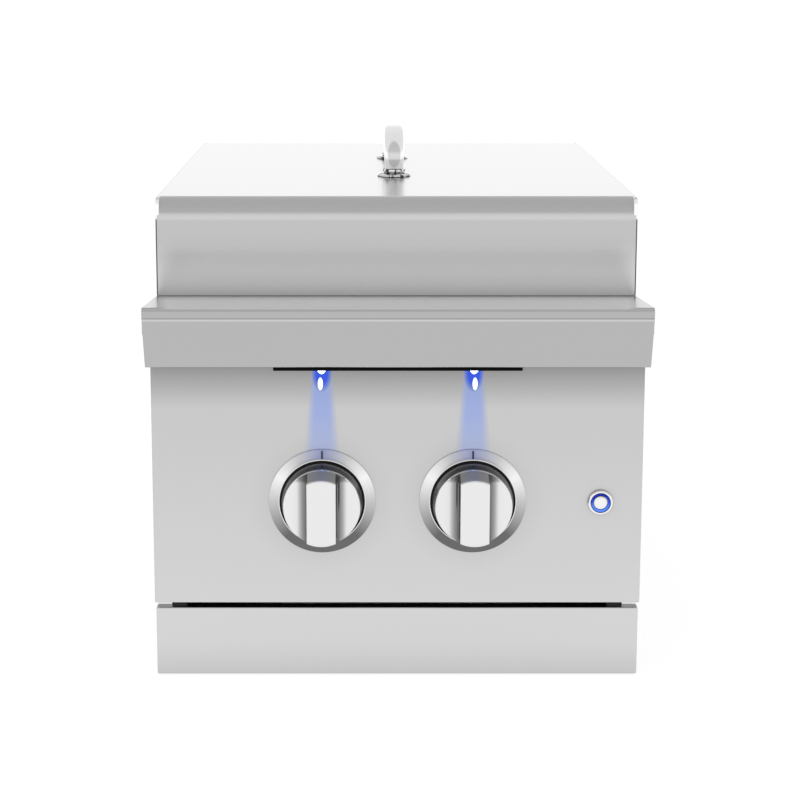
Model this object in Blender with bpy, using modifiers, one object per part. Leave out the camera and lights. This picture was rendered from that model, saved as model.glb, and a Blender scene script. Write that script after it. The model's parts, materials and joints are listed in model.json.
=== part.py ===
"""A drop-in double side burner for an outdoor kitchen, with a lift-off lid.

Metres, +Z up, +X to the right and +Y to the back. The origin is the centre of the
burner box's underside. Every piece is one named object; empties carry what moves.
"""

from math import copysign, cos, pi, radians, sin

import bmesh
import bpy
from mathutils import Matrix, Vector

# Fits and finish of the mesh
GAP = 0.0003  # between two pieces that touch
MERGE = 0.00001  # points nearer than this are one point
REACH = 0.002  # how far a cutting tool passes the face it cuts
SIDES = 28  # sides of a round piece
SMALL_SIDES = 16  # sides of a small round piece
TURN_STEPS = 5  # straight steps in a bend or a rounded corner
SHARP = radians(32)  # edges over this angle stay sharp
FRONT = (pi / 2, 0, 0)  # turns a piece's +Z to face the cook
BACK = (-pi / 2, 0, 0)  # turns a piece's +Z to the rear
SIDE = (pi / 2, 0, pi / 2)  # turns an XY outline to stand in the YZ plane

# Burner box
BOX_W = 0.356
BOX_D = 0.544
BOX_H = 0.2872
BOX_SHEET = 0.0012
BOX_LIP = 0.012  # width of the frames at its ends, from its outside

# Control panel and its place
PANEL_SIDE = 0.0125  # how far the panel reaches past the box on each side
PANEL_SHEET = 0.0015
PANEL_FOLD = 0.0097  # depth of the folded edges
PANEL_GAP = 0.0038  # dark gap between the panel and the tray front
FOLD_RADIUS = 0.0012

# Drip tray
TRAY_FRONT_H = 0.055
TRAY_FRONT_LIFT = 0.001  # its lower edge above the box's underside
TRAY_FRONT_SIDE = 0.0115  # how far it reaches past the box on each side
TRAY_SIDE = 0.018  # from the box's side to the tray's
TRAY_SHORT = 0.018  # by which it stops short of its rails' ends
TRAY_H = 0.036
TRAY_SHEET = 0.001
TRAY_CORNER = 0.014
TRAY_HEM = 0.004
RAIL_UNDER = 0.010  # width of a rail that the tray rests on
RAIL_OVER = 0.009  # width of a rail's lip over the tray's rim
RAIL_SHEET = 0.0012
RAIL_SHORT = 0.0425  # from the rails' ends to the box's rear
RAIL_HEADROOM = 0.0013
RAIL_LIFT = 0.0125

# Deck and its front
DECK_SIDE = 0.017  # how far the deck reaches past the box on each side
DECK_REAR = 0.022
DECK_SHEET = 0.0015
DECK_SKIRT = 0.012
DECK_RETURN = 0.010
NOSE_RISE = 0.0085  # crest of the front nose above the flat deck
NOSE_FACE = 0.0080  # upright part of the nose, above the fascia
NOSE_RADIUS = 0.0035
NOSE_RUN = 0.004  # level deck kept in front of the lid
FASCIA_PROUD = 0.012
FASCIA_H = 0.0377
FASCIA_RETURN = 0.0096
FASCIA_TAPER = 0.0020
FASCIA_SHEET = 0.0015

# Burner pan
PAN_SIDE = 0.038  # from the box's side to the pan's opening
PAN_END = 0.0425  # from the lid's front and rear to the pan's opening
PAN_DEPTH = 0.042
PAN_DRAFT = 0.006
PAN_CORNER = 0.024
PAN_FOOT = 0.008
PAN_FLANGE = 0.015
PAN_SHEET = 0.001

# Lid
LID_FRONT_SETBACK = 0.102  # from the fascia's face
LID_REAR_SETBACK = 0.016
LID_SIDE_SETBACK = 0.0005
LID_H = 0.0795
LID_SHEET = 0.0015
LID_ROLL = 0.016
LID_HEM = 0.008
LID_END = 0.003
LID_END_CORNER = 0.006

# Lid handle
HANDLE_SPAN = 0.150
HANDLE_RISE = 0.0440  # top of the grip above the lid
HANDLE_RADIUS = 0.0098
HANDLE_FOOT_RADIUS = 0.0082
HANDLE_POWER = 3.2  # squareness of the arch
HANDLE_STEPS = 18
HANDLE_LEG = 0.003  # upright start of the arch
ROSETTE_RADIUS = 0.0150
ROSETTE_NECK = 0.0095
ROSETTE_H = 0.0060
SCREW_RADIUS = 0.0030
SCREW_HEAD = 0.0060
SCREW_HEAD_H = 0.0030
SCREW_BITE = 0.010  # length held in the handle's foot
SCREW_CLEAR = 0.0005

# Burners
BASE_FLANGE = 0.050
BASE_BOWL = 0.040
BASE_WALL = 0.0035
BASE_FLANGE_H = 0.004
BASE_STRAIGHT = 0.010
BASE_CONE = 0.022
NECK_RADIUS = 0.0150
NECK_BORE = 0.0122
NECK_H = 0.0115
RING_RADIUS = 0.046
RING_BORE = 0.037
RING_H = 0.015
PORTS = 32
PORT_W = 0.0022
PORT_H = 0.006
CAP_RADIUS = 0.0455
CAP_H = 0.008
CAP_SPIGOT_H = 0.0042
CAP_WALL = 0.0035
HOLE_CLEAR = 0.001
IGNITER_REACH = 0.060  # from the burner's axis
IGNITER_ANGLE = radians(225)
SPARK_GAP = 0.004
CERAMIC_RADIUS = 0.0035
CERAMIC_UP = 0.012
CERAMIC_DOWN = 0.018
COLLAR_RADIUS = 0.006
COLLAR_H = 0.002
WIRE_RADIUS = 0.001
WIRE_RISE = 0.003  # above the ceramic

# Grates
ROD = 0.004
FINGER_ROD = 0.0035
GRATE_INSET = 0.0075  # side rods outside the pan's opening
GRATE_SPLIT = 0.012  # between the two grates' rod axes
GRATE_CORNER = 0.018
FINGER_RISE = 0.012
FINGER_ROWS = (-0.056, 0.0, 0.056)
FINGER_STOP = 0.030  # open circle over the burner
FINGER_BEND = 0.006

# Controls
KNOB_X = 0.0585
KNOB_RISE = 0.0832  # knob axis above the panel's lower edge
BEZEL_RADIUS = 0.0415
BEZEL_EDGE = 0.0008
BEZEL_MOUTH = 0.0334
BEZEL_RIM = 0.0010
BEZEL_H = 0.0036
BEZEL_FLOOR = 0.0012
STEM_HOLE = 0.0075
KNOB_BACK = 0.0050
KNOB_SKIRT = 0.0315
KNOB_FACE = 0.0190
KNOB_FACE_RADIUS = 0.0300
KNOB_TOP = 0.0370
KNOB_TOP_RADIUS = 0.0262
KNOB_EDGE = 0.0008
KNOB_WALL = 0.0030
KNOB_HUB = 0.0090
GRIP_W = 0.0221
GRIP_COVE = 0.0080
STEM_RADIUS = 0.0040
STEM_FRONT = 0.0270
STEM_CLEAR = 0.0003
PUSH = 0.003  # travel of a knob
STOP_CLEAR = 0.0012  # left when a knob is pushed right in
TANG_W = 0.0056
TANG_T = 0.0024
TANG_L = 0.0095
BONNET_RADIUS = 0.017
BONNET_T = 0.003
GLAND_RADIUS = 0.0065
GLAND_PROUD = 0.001
VALVE_RADIUS = 0.014
VALVE_L = 0.034
VALVE_NECK = 0.007
VALVE_NECK_L = 0.017
PLUG_FRONT = 0.0081
PLUG_REAR = 0.0061
PLUG_L = 0.030
PLUG_CLEAR = 0.0004
PLUG_COUNTERBORE = 0.006
PASSAGE = 0.002
INLET_STUB = 0.006
ORIFICE_HEX = 0.0065
ORIFICE_HEX_L = 0.008
ORIFICE_NOSE = 0.004
ORIFICE_NOSE_L = 0.012

# Gas path
MANIFOLD_RADIUS = 0.0095
MANIFOLD_DROP = 0.030  # below the knobs' axes
MANIFOLD_DEPTH = 0.020  # behind the panel's face
MANIFOLD_PAST = 0.0215  # how far the manifold passes the left valve
PIPE_LEAD = 0.040  # from the manifold's end to the pipe's run to the rear
PIPE_RADIUS = 0.005
PIPE_SIDE = 0.028  # from the box's right side
PIPE_BEND = 0.016
PIPE_END = 0.010  # short of the box's rear
TUBE_RADIUS = 0.0116
TUBE_WALL = 0.0012
TUBE_BEND = 0.030
TUBE_TURN = 0.080  # run over which a tube swings to its burner
TUBE_SEAT = 0.008  # length inside the burner's neck
TUBE_ROUND = 3  # steps in a quarter of a tube's section
SHUTTER_LEAD = 0.0026  # shutter's face behind the orifice's hexagon
SHUTTER_L = 0.025
SHUTTER_WALL = 0.0012
SHUTTER_HOLE = 0.0055
WINDOW_L = 0.010
WINDOW_H = 0.012
MOUTH_SETBACK = 0.006  # tube mouth behind the shutter's face
SHIELD_BACK = 0.110  # heat shield behind the panel's face
SHIELD_FOLD = 0.010
SHIELD_SHEET = 0.001
SHIELD_CLEAR = 0.002

# Rear panel
VENT_W = 0.070
VENT_H = 0.006
VENT_COLUMNS = 3
VENT_ROWS = 4
VENT_BAR = 0.020  # sheet left between two columns
VENT_PITCH_Z = 0.018
VENT_TOP = 0.060  # first row below the box's top
INLET_BARREL = 0.0075
INLET_FLANGE = 0.012
INLET_FLANGE_H = 0.005
INLET_OUT = 0.018
INLET_FLARE = 0.006
INLET_BORE = 0.003
INLET_TIP = 0.0055
POWER_SIDE = 0.048  # from the box's left side
POWER_BARREL = 0.0055
POWER_FLANGE = 0.008
POWER_FLANGE_H = 0.002
POWER_OUT = 0.007
POWER_BORE = 0.003

# Lights and switch
LIGHT_PAST = 0.037  # from a knob's axis to the light bar's end
LIGHT_D = 0.0096
LIGHT_H = 0.0026
LIGHT_EDGE = 0.0015
LIGHT_BACK = 0.0004  # bar's rear edge in front of the panel
LAMP_RADIUS = 0.0034
LAMP_RIM = 0.0010
LAMP_H = 0.0034
SWITCH_SIDE = 0.0325  # from the panel's right edge
SWITCH_RISE = 0.0822
SWITCH_RADIUS = 0.0100
SWITCH_H = 0.0029
SWITCH_ROUND = 0.0008
SWITCH_RECESS = 0.0080
SWITCH_RECESS_FLOOR = 0.0012
SWITCH_BARREL = 0.0078
SWITCH_L = 0.026
SWITCH_WALL = 0.0035
SWITCH_WIRE_HOLE = 0.003
BUTTON_RADIUS = 0.0052
BUTTON_PROUD = 0.0032
BUTTON_L = 0.0072
NUT_RADIUS = 0.0115
NUT_H = 0.003
NUT_CLEAR = 0.0003

# Planes worked out from the sizes above
PANEL_W = BOX_W + 2 * PANEL_SIDE
PANEL_Y = -BOX_D / 2 - GAP - PANEL_FOLD
PANEL_Z = TRAY_FRONT_LIFT + TRAY_FRONT_H + PANEL_GAP
DECK_W = BOX_W + 2 * DECK_SIDE
DECK_Z = BOX_H + GAP + DECK_SHEET
DECK_FRONT_Y = PANEL_Y - FASCIA_PROUD
DECK_REAR_Y = BOX_D / 2 + DECK_REAR
SKIRT_Z = DECK_Z - DECK_SKIRT
PANEL_TOP_Z = SKIRT_Z - GAP
FASCIA_TOP_Z = DECK_Z + NOSE_RISE - NOSE_FACE - GAP
FASCIA_Z = FASCIA_TOP_Z - FASCIA_H
LID_W = DECK_W - 2 * LID_SIDE_SETBACK
LID_FRONT_Y = DECK_FRONT_Y + LID_FRONT_SETBACK
LID_REAR_Y = DECK_REAR_Y - LID_REAR_SETBACK
LID_D = LID_REAR_Y - LID_FRONT_Y
LID_Y = (LID_FRONT_Y + LID_REAR_Y) / 2
LID_Z = DECK_Z + GAP
PAN_W = BOX_W - 2 * PAN_SIDE
PAN_D = LID_D - 2 * PAN_END
PAN_Z = DECK_Z + GAP
PAN_FLOOR_Z = PAN_Z - PAN_DEPTH + PAN_SHEET
TRAY_W = BOX_W - 2 * TRAY_SIDE
WALL_X = BOX_W / 2 - BOX_SHEET - GAP
RAIL_W = WALL_X - TRAY_W / 2 + RAIL_UNDER
RAIL_LIP = WALL_X - TRAY_W / 2 - TRAY_HEM + RAIL_OVER
RAIL_D = BOX_D - BOX_SHEET - GAP - RAIL_SHORT
TRAY_D = RAIL_D - TRAY_SHORT
RAIL_H = TRAY_H + TRAY_SHEET + 2 * RAIL_SHEET + GAP + RAIL_HEADROOM
REAR_Y = BOX_D / 2 + GAP + BOX_SHEET
GRATE_W = PAN_W + 2 * GRATE_INSET
GRATE_D = (PAN_D + 2 * GRATE_INSET - GRATE_SPLIT) / 2
BURNER_OFFSET = (GRATE_D + GRATE_SPLIT) / 2
BURNERS = (("front", LID_Y - BURNER_OFFSET, -1), ("rear", LID_Y + BURNER_OFFSET, 1))
KNOB_Z = PANEL_Z + KNOB_RISE
SIDES_X = (("left", -KNOB_X), ("right", KNOB_X))
SWITCH_X = PANEL_W / 2 - SWITCH_SIDE
SWITCH_Z = PANEL_Z + SWITCH_RISE
PIPE_X = BOX_W / 2 - PIPE_SIDE
POWER_X = POWER_SIDE - BOX_W / 2
LIGHT_W = 2 * (KNOB_X + LIGHT_PAST)
MANIFOLD_LEFT = KNOB_X + MANIFOLD_PAST
MANIFOLD_RIGHT = PIPE_X - PIPE_LEAD
VALVE_FRONT = -(PANEL_SHEET + GAP + BONNET_T + GAP)
VALVE_REAR = VALVE_FRONT - VALVE_L - VALVE_NECK_L
SHUTTER_RADIUS = TUBE_RADIUS + SHUTTER_WALL + 2 * GAP
SHUTTER_Y = PANEL_Y - VALVE_REAR + GAP + ORIFICE_HEX_L + SHUTTER_LEAD
MANIFOLD_Y = PANEL_Y + MANIFOLD_DEPTH
MANIFOLD_Z = KNOB_Z - MANIFOLD_DROP

for old in list(bpy.data.objects):
    bpy.data.objects.remove(old, do_unlink=True)

PARTS = bpy.data.collections.new("double_side_burner")
TOOLS = bpy.data.collections.new("cutters")
for group in (PARTS, TOOLS):
    bpy.context.scene.collection.children.link(group)


def finish(name, colour, roughness, metallic):
    """A plain material with the colour and gloss of one finish."""
    material = bpy.data.materials.new(name)
    material.use_nodes = True
    shader = material.node_tree.nodes["Principled BSDF"]
    shader.inputs["Base Color"].default_value = (*colour, 1)
    shader.inputs["Roughness"].default_value = roughness
    shader.inputs["Metallic"].default_value = metallic
    return material


BRUSHED = finish("brushed_steel", (0.62, 0.62, 0.61), 0.34, 1)
POLISHED = finish("polished_steel", (0.78, 0.78, 0.77), 0.10, 1)
PLAIN_STEEL = finish("mill_steel", (0.50, 0.50, 0.49), 0.45, 1)
ZINC = finish("die_cast_zinc", (0.70, 0.70, 0.69), 0.25, 1)
ALUMINIUM = finish("cast_aluminium", (0.55, 0.55, 0.54), 0.55, 1)
BRASS = finish("brass", (0.60, 0.43, 0.18), 0.35, 1)
ENAMEL = finish("black_enamel", (0.02, 0.02, 0.02), 0.30, 0)
BLACK = finish("black_plastic", (0.02, 0.02, 0.02), 0.50, 0)
CERAMIC = finish("white_ceramic", (0.82, 0.80, 0.76), 0.35, 0)
LAMP_LENS = finish("lamp_lens", (0.80, 0.88, 1.00), 0.08, 0)
BLUE_LENS = finish("blue_lens", (0.10, 0.25, 0.90), 0.15, 0)


# Tools for shaping


def link(obj, parent=None, at=(0, 0, 0), turn=(0, 0, 0), tool=False):
    """Place an object in its collection, under its parent."""
    (TOOLS if tool else PARTS).objects.link(obj)
    obj.parent = parent
    obj.location = at
    obj.rotation_euler = turn
    if tool:
        obj.hide_render = True
        obj.display_type = "WIRE"
    return obj


def empty(name, at, turn=(0, 0, 0)):
    """A carrier for the pieces that move or sit together."""
    return link(bpy.data.objects.new(name, None), at=at, turn=turn)


def settle(obj):
    """An object's evaluated shape as a closed mesh, shaded smooth."""
    graph = bpy.context.evaluated_depsgraph_get()
    mesh = bpy.data.meshes.new_from_object(obj.evaluated_get(graph))
    bm = bmesh.new()
    bm.from_mesh(mesh)
    bmesh.ops.remove_doubles(bm, verts=bm.verts, dist=MERGE)
    bmesh.ops.recalc_face_normals(bm, faces=bm.faces)
    bm.to_mesh(mesh)
    bm.free()
    mesh.shade_smooth()
    mesh.set_sharp_from_angle(angle=SHARP)
    return mesh


def solid(name, bm, material, sheet=0.0, **place):
    """An object from a bmesh; an open one is thickened inwards by sheet."""
    mesh = bpy.data.meshes.new(name)
    bm.normal_update()
    bm.to_mesh(mesh)
    bm.free()
    if material:
        mesh.materials.append(material)
    mesh.shade_smooth()
    mesh.set_sharp_from_angle(angle=SHARP)
    obj = link(bpy.data.objects.new(name, mesh), **place)
    if sheet:
        thicken = obj.modifiers.new("sheet", "SOLIDIFY")
        thicken.thickness = sheet
        thicken.offset = -1
        thicken.use_even_offset = True
    return obj


def turned(name, profile, material, sides=SIDES, **place):
    """A turned piece; its profile of (radius, height) runs down the outer side."""
    mesh = bpy.data.meshes.new(name)
    edges = [(i, i + 1) for i in range(len(profile) - 1)]
    if profile[0][0] > 0:
        edges.append((len(profile) - 1, 0))
    mesh.from_pydata([(radius, 0, height) for radius, height in profile], edges, [])
    if material:
        mesh.materials.append(material)
    obj = link(bpy.data.objects.new(name, mesh), **place)
    screw = obj.modifiers.new("turn", "SCREW")
    screw.steps = sides
    screw.render_steps = sides
    screw.use_merge_vertices = True
    screw.merge_threshold = MERGE
    obj.data = settle(obj)
    obj.modifiers.clear()
    return obj


def from_curve(name, curve, material, **place):
    """A mesh object with a curve's shape, its caps welded on."""
    if material:
        curve.materials.append(material)
    drawn = link(bpy.data.objects.new(name + "_curve", curve), **place)
    mesh = settle(drawn)
    mesh.name = name
    bpy.data.objects.remove(drawn, do_unlink=True)
    return link(bpy.data.objects.new(name, mesh), **place)


def rod(name, path, radius, material, closed=False, round_steps=2, radii=None, **place):
    """A round bar along a path of points."""
    curve = bpy.data.curves.new(name, "CURVE")
    curve.dimensions = "3D"
    curve.bevel_depth = radius
    curve.bevel_resolution = round_steps
    curve.use_fill_caps = True
    spline = curve.splines.new("POLY")
    spline.points.add(len(path) - 1)
    spline.use_cyclic_u = closed
    for i, point in enumerate(path):
        spline.points[i].co = (*point, 1)
        spline.points[i].radius = radii[i] / radius if radii else 1
    return from_curve(name, curve, material, **place)


def plate(name, outlines, thickness, material, **place):
    """A flat piece from outlines in XY, the first outside and the rest holes."""
    curve = bpy.data.curves.new(name, "CURVE")
    curve.dimensions = "2D"
    curve.fill_mode = "BOTH"
    curve.extrude = thickness / 2
    for outline in outlines:
        spline = curve.splines.new("POLY")
        spline.points.add(len(outline) - 1)
        spline.use_cyclic_u = True
        for point, (x, y) in zip(spline.points, outline):
            point.co = (x, y, 0, 1)
    return from_curve(name, curve, material, **place)


def arc(centre, radius, start, end, steps=TURN_STEPS):
    """Points on an arc in a plane, angles in degrees."""
    angles = [radians(start + (end - start) * i / steps) for i in range(steps + 1)]
    return [(centre[0] + radius * cos(a), centre[1] + radius * sin(a)) for a in angles]


def circle(radius, centre=(0, 0), sides=SMALL_SIDES):
    """A round outline."""
    return arc(centre, radius, 0, 360, sides)[:-1]


def rounded(width, height, radius, centre=(0, 0), steps=TURN_STEPS):
    """A rectangle's outline with round corners."""
    x = width / 2 - radius
    y = height / 2 - radius
    corners = ((x, y, 0), (-x, y, 90), (-x, -y, 180), (x, -y, 270))
    return [
        point
        for cx, cy, start in corners
        for point in arc((centre[0] + cx, centre[1] + cy), radius, start, start + 90, steps)
    ]


def bent(points, radius, steps=TURN_STEPS):
    """A path of straight runs whose corners are bent to one radius."""
    path = [Vector(points[0])]
    for before, corner, after in zip(points, points[1:], points[2:]):
        corner = Vector(corner)
        incoming = (corner - Vector(before)).normalized()
        outgoing = (Vector(after) - corner).normalized()
        angle = incoming.angle(outgoing)
        start = corner - incoming * radius * sin(angle / 2) / cos(angle / 2)
        inward = (outgoing - incoming * incoming.dot(outgoing)).normalized()
        for i in range(steps + 1):
            swing = angle * i / steps
            path.append(start + incoming * radius * sin(swing) + inward * radius * (1 - cos(swing)))
    path.append(Vector(points[-1]))
    return path


def block(width, depth, height, centre=(0, 0, 0)):
    """A box-shaped bmesh."""
    bm = bmesh.new()
    size = Matrix.Diagonal((width, depth, height, 1))
    bmesh.ops.create_cube(bm, size=1, matrix=Matrix.Translation(centre) @ size)
    return bm


def prism(outline, width):
    """A closed bar with a YZ outline, its length along X."""
    bm = bmesh.new()
    end = bm.faces.new([bm.verts.new((-width / 2, y, z)) for y, z in outline])
    swept = bmesh.ops.extrude_face_region(bm, geom=[end])["geom"]
    moved = [item for item in swept if isinstance(item, bmesh.types.BMVert)]
    bmesh.ops.translate(bm, verts=moved, vec=(width, 0, 0))
    bmesh.ops.recalc_face_normals(bm, faces=bm.faces)
    return bm


def facing(bm, direction):
    """The faces of a bmesh that look one way."""
    bm.normal_update()
    return [face for face in bm.faces if face.normal.dot(Vector(direction)) > 0.99]


def open_face(bm, direction, lip=0.0):
    """Remove the largest face that looks one way, leaving a lip round the opening."""
    face = max(facing(bm, direction), key=lambda side: side.calc_area())
    if lip:
        bmesh.ops.inset_individual(bm, faces=[face], thickness=lip, use_even_offset=True)
    bmesh.ops.delete(bm, geom=[face], context="FACES")


def soften(bm, edges, radius, steps=2):
    """Round the given edges of a bmesh."""
    bmesh.ops.bevel(bm, geom=edges, offset=radius, segments=steps, affect="EDGES", profile=0.5)


def cutter(name, bm, **place):
    """A tool that cuts, which isn't part of the object."""
    return solid(name, bm, None, tool=True, **place)


def drill(name, radius, length, sides=SIDES, **place):
    """A round cutter along its local Z."""
    bm = bmesh.new()
    bmesh.ops.create_cone(
        bm, cap_ends=True, segments=sides, radius1=radius, radius2=radius, depth=length
    )
    return cutter(name, bm, **place)


def combine(obj, tools, operation="DIFFERENCE"):
    """Cut the tools from an object, or join them to it."""
    for tool in tools:
        step = obj.modifiers.new(tool.name, "BOOLEAN")
        step.operation = operation
        step.object = tool
        step.solver = "EXACT"
    return obj


def folded_panel(name, width, height, fold, sheet, material, **place):
    """A sheet panel facing the cook, its four edges folded back; origin at its face."""
    bm = block(width, fold, height, (0, fold / 2, 0))
    open_face(bm, (0, 1, 0))
    soften(bm, [edge for edge in bm.edges if not edge.is_boundary], FOLD_RADIUS)
    return solid(name, bm, material, sheet, **place)


def tray(name, size, corner, foot, flange, sheet, material, draft=0.0, **place):
    """An open tray with a flat rim turned outwards; origin under the rim's middle."""
    width, depth, height = size
    bm = block(width, depth, height, (0, 0, -height / 2))
    for vert in bm.verts:
        if vert.co.z < -height / 2:
            vert.co.x *= 1 - 2 * draft / width
            vert.co.y *= 1 - 2 * draft / depth
    open_face(bm, (0, 0, 1))
    soften(bm, [e for e in bm.edges if abs(e.verts[0].co.z - e.verts[1].co.z) > height / 2], corner, 4)
    floor = facing(bm, (0, 0, -1))
    soften(bm, [edge for face in floor for edge in face.edges], foot)
    rim = [edge for edge in bm.edges if edge.is_boundary]
    spread = bmesh.ops.extrude_edge_only(bm, edges=rim)["geom"]
    core = Vector((width / 2 - corner, depth / 2 - corner))
    for vert in [item for item in spread if isinstance(item, bmesh.types.BMVert)]:
        nearest = Vector((max(-core.x, min(core.x, vert.co.x)), max(-core.y, min(core.y, vert.co.y))))
        outward = (vert.co.xy - nearest).normalized()
        vert.co.xy += outward * flange
    bmesh.ops.recalc_face_normals(bm, faces=bm.faces)
    if facing(bm, (0, 0, -1)) == []:
        bmesh.ops.reverse_faces(bm, faces=bm.faces)
    return solid(name, bm, material, sheet, **place)


# Box, deck and panels


def burner_box():
    """The box that hangs in the worktop: a folded sheet, stiffened by a frame at each end."""
    bm = block(BOX_W, BOX_D, BOX_H, (0, 0, BOX_H / 2))
    for direction in ((0, 0, 1), (0, -1, 0), (0, 1, 0)):
        open_face(bm, direction)
    solid("burner_box", bm, PLAIN_STEEL, BOX_SHEET)
    bottom = BOX_SHEET + GAP
    for end, way in (("front", -1), ("rear", 1)):
        plate(
            end + "_box_frame",
            [
                rounded(2 * WALL_X, BOX_H - bottom, MERGE, (0, (BOX_H + bottom) / 2), 1),
                rounded(BOX_W - 2 * BOX_LIP, BOX_H - 2 * BOX_LIP, FOLD_RADIUS, (0, BOX_H / 2), 2),
            ],
            BOX_SHEET,
            PLAIN_STEEL,
            at=(0, way * (BOX_D - BOX_SHEET) / 2, 0),
            turn=FRONT,
        )


def rear_panel():
    """The vented sheet behind the box, with holes for the gas and power inlets."""
    plate(
        "rear_panel",
        [
            rounded(BOX_W, BOX_H, FOLD_RADIUS, (0, BOX_H / 2), 2),
            *[
                rounded(VENT_W, VENT_H, VENT_H / 2 - MERGE, (x, z), 3)
                for x, z in (
                    (
                        (column - (VENT_COLUMNS - 1) / 2) * (VENT_W + VENT_BAR),
                        BOX_H - VENT_TOP - row * VENT_PITCH_Z,
                    )
                    for column in range(VENT_COLUMNS)
                    for row in range(VENT_ROWS)
                )
            ],
            circle(INLET_BARREL + HOLE_CLEAR, (PIPE_X, MANIFOLD_Z)),
            circle(POWER_BARREL + HOLE_CLEAR, (POWER_X, MANIFOLD_Z)),
        ],
        BOX_SHEET,
        PLAIN_STEEL,
        at=(0, BOX_D / 2 + GAP + BOX_SHEET / 2, 0),
        turn=FRONT,
    )


def deck():
    """The worktop frame: a raised nose in front, and a skirt turned under all round."""
    front = DECK_FRONT_Y
    leg = front + FASCIA_SHEET + GAP
    seam = FASCIA_TOP_Z + GAP
    crest = DECK_Z + NOSE_RISE
    nose = arc((front + NOSE_RADIUS, crest - NOSE_RADIUS), NOSE_RADIUS, 180, 90, 4)
    outline = [
        (leg, SKIRT_Z),
        (leg, seam),
        (front, seam),
        *nose,
        (LID_FRONT_Y - NOSE_RUN, DECK_Z),
        (DECK_REAR_Y - FOLD_RADIUS, DECK_Z),
        (DECK_REAR_Y, DECK_Z - FOLD_RADIUS),
        (DECK_REAR_Y, SKIRT_Z),
    ]
    bm = prism(outline, DECK_W)
    open_face(bm, (0, 0, -1), DECK_RETURN)
    frame = solid("deck", bm, BRUSHED, DECK_SHEET)
    well = plate(
        "deck_well",
        [rounded(PAN_W + 2 * GAP, PAN_D + 2 * GAP, PAN_CORNER + GAP)],
        4 * DECK_SHEET,
        None,
        at=(0, LID_Y, DECK_Z),
        tool=True,
    )
    combine(frame, [well])


def front_fascia():
    """The shallow channel under the nose, a little narrower at its lower edge."""
    bm = block(DECK_W, FASCIA_RETURN, FASCIA_H, (0, FASCIA_RETURN / 2, FASCIA_H / 2))
    for vert in bm.verts:
        if vert.co.z < FASCIA_H / 2:
            vert.co.x -= FASCIA_TAPER if vert.co.x > 0 else -FASCIA_TAPER
    bmesh.ops.delete(bm, geom=facing(bm, (0, 1, 0)) + facing(bm, (0, 0, 1)), context="FACES")
    ends = [face for face in bm.faces if abs(face.normal.x) > 0.5]
    bmesh.ops.delete(bm, geom=ends, context="FACES")
    lower = [edge for edge in bm.edges if not edge.is_boundary]
    soften(bm, lower, FOLD_RADIUS)
    solid("front_fascia", bm, BRUSHED, FASCIA_SHEET, at=(0, DECK_FRONT_Y, FASCIA_Z))


def control_panel():
    """The knob panel, drilled for the valve glands and the light switch."""
    height = PANEL_TOP_Z - PANEL_Z
    place = {"at": (0, PANEL_Y, PANEL_Z + height / 2)}
    panel = folded_panel("control_panel", PANEL_W, height, PANEL_FOLD, PANEL_SHEET, BRUSHED, **place)
    holes = []
    for side, x in SIDES_X:
        place = {"at": (x, PANEL_Y, KNOB_Z), "turn": FRONT}
        holes.append(drill("gland_hole_" + side, STEM_HOLE, 4 * PANEL_SHEET, SMALL_SIDES, **place))
    place = {"at": (SWITCH_X, PANEL_Y, SWITCH_Z), "turn": FRONT}
    holes.append(drill("switch_hole", SWITCH_BARREL + NUT_CLEAR, 4 * PANEL_SHEET, SMALL_SIDES, **place))
    combine(panel, holes)


def heat_shield():
    """The bulkhead between the valves and the burners, holed for the gas tubes."""
    bottom = RAIL_LIFT + RAIL_H + GAP
    height = BOX_H - BOX_SHEET - GAP - bottom
    face = PANEL_Y + SHIELD_BACK
    place = {"at": (0, face, bottom + height / 2)}
    shield = folded_panel("heat_shield", 2 * WALL_X, height, SHIELD_FOLD, SHIELD_SHEET, PLAIN_STEEL, **place)
    holes = [
        drill(
            "shield_hole_" + side,
            TUBE_RADIUS + SHIELD_CLEAR,
            2 * SHIELD_FOLD,
            SMALL_SIDES,
            at=(x, face, KNOB_Z),
            turn=FRONT,
        )
        for side, x in SIDES_X
    ]
    place = {"at": (PIPE_X, face, MANIFOLD_Z), "turn": FRONT}
    radius = PIPE_RADIUS + SHIELD_CLEAR
    holes.append(drill("shield_hole_pipe", radius, 2 * SHIELD_FOLD, SMALL_SIDES, **place))
    combine(shield, holes)


def tray_rails():
    """The channels on the box's walls that the drip tray slides in."""
    h, t = RAIL_H, RAIL_SHEET
    upper = ((0, 0), (0, h), (RAIL_LIP, h), (RAIL_LIP, h - t))
    lower = ((t, h - t), (t, t), (RAIL_W, t), (RAIL_W, 0))
    front = -BOX_D / 2 + BOX_SHEET + GAP
    for side, way in (("left", -1), ("right", 1)):
        plate(
            side + "_tray_rail",
            [[(-way * x, y) for x, y in upper + lower]],
            RAIL_D,
            PLAIN_STEEL,
            at=(way * WALL_X, front + RAIL_D / 2, RAIL_LIFT),
            turn=FRONT,
        )


def drip_tray():
    """The pull-out tray: its front panel matches the control panel above it."""
    carrier = empty("tray_slide_frame", (0, PANEL_Y, TRAY_FRONT_LIFT))
    width = BOX_W + 2 * TRAY_FRONT_SIDE
    place = {"parent": carrier, "at": (0, 0, TRAY_FRONT_H / 2)}
    folded_panel("tray_front", width, TRAY_FRONT_H, PANEL_FOLD, PANEL_SHEET, BRUSHED, **place)
    front = PANEL_SHEET + GAP + TRAY_HEM
    rim = RAIL_LIFT + RAIL_SHEET + GAP + TRAY_H - TRAY_FRONT_LIFT
    tray(
        "drip_tray",
        (TRAY_W, TRAY_D, TRAY_H),
        TRAY_CORNER,
        TRAY_CORNER / 4,
        TRAY_HEM,
        TRAY_SHEET,
        PLAIN_STEEL,
        parent=carrier,
        at=(0, front + TRAY_D / 2, rim),
    )


# Burners


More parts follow.
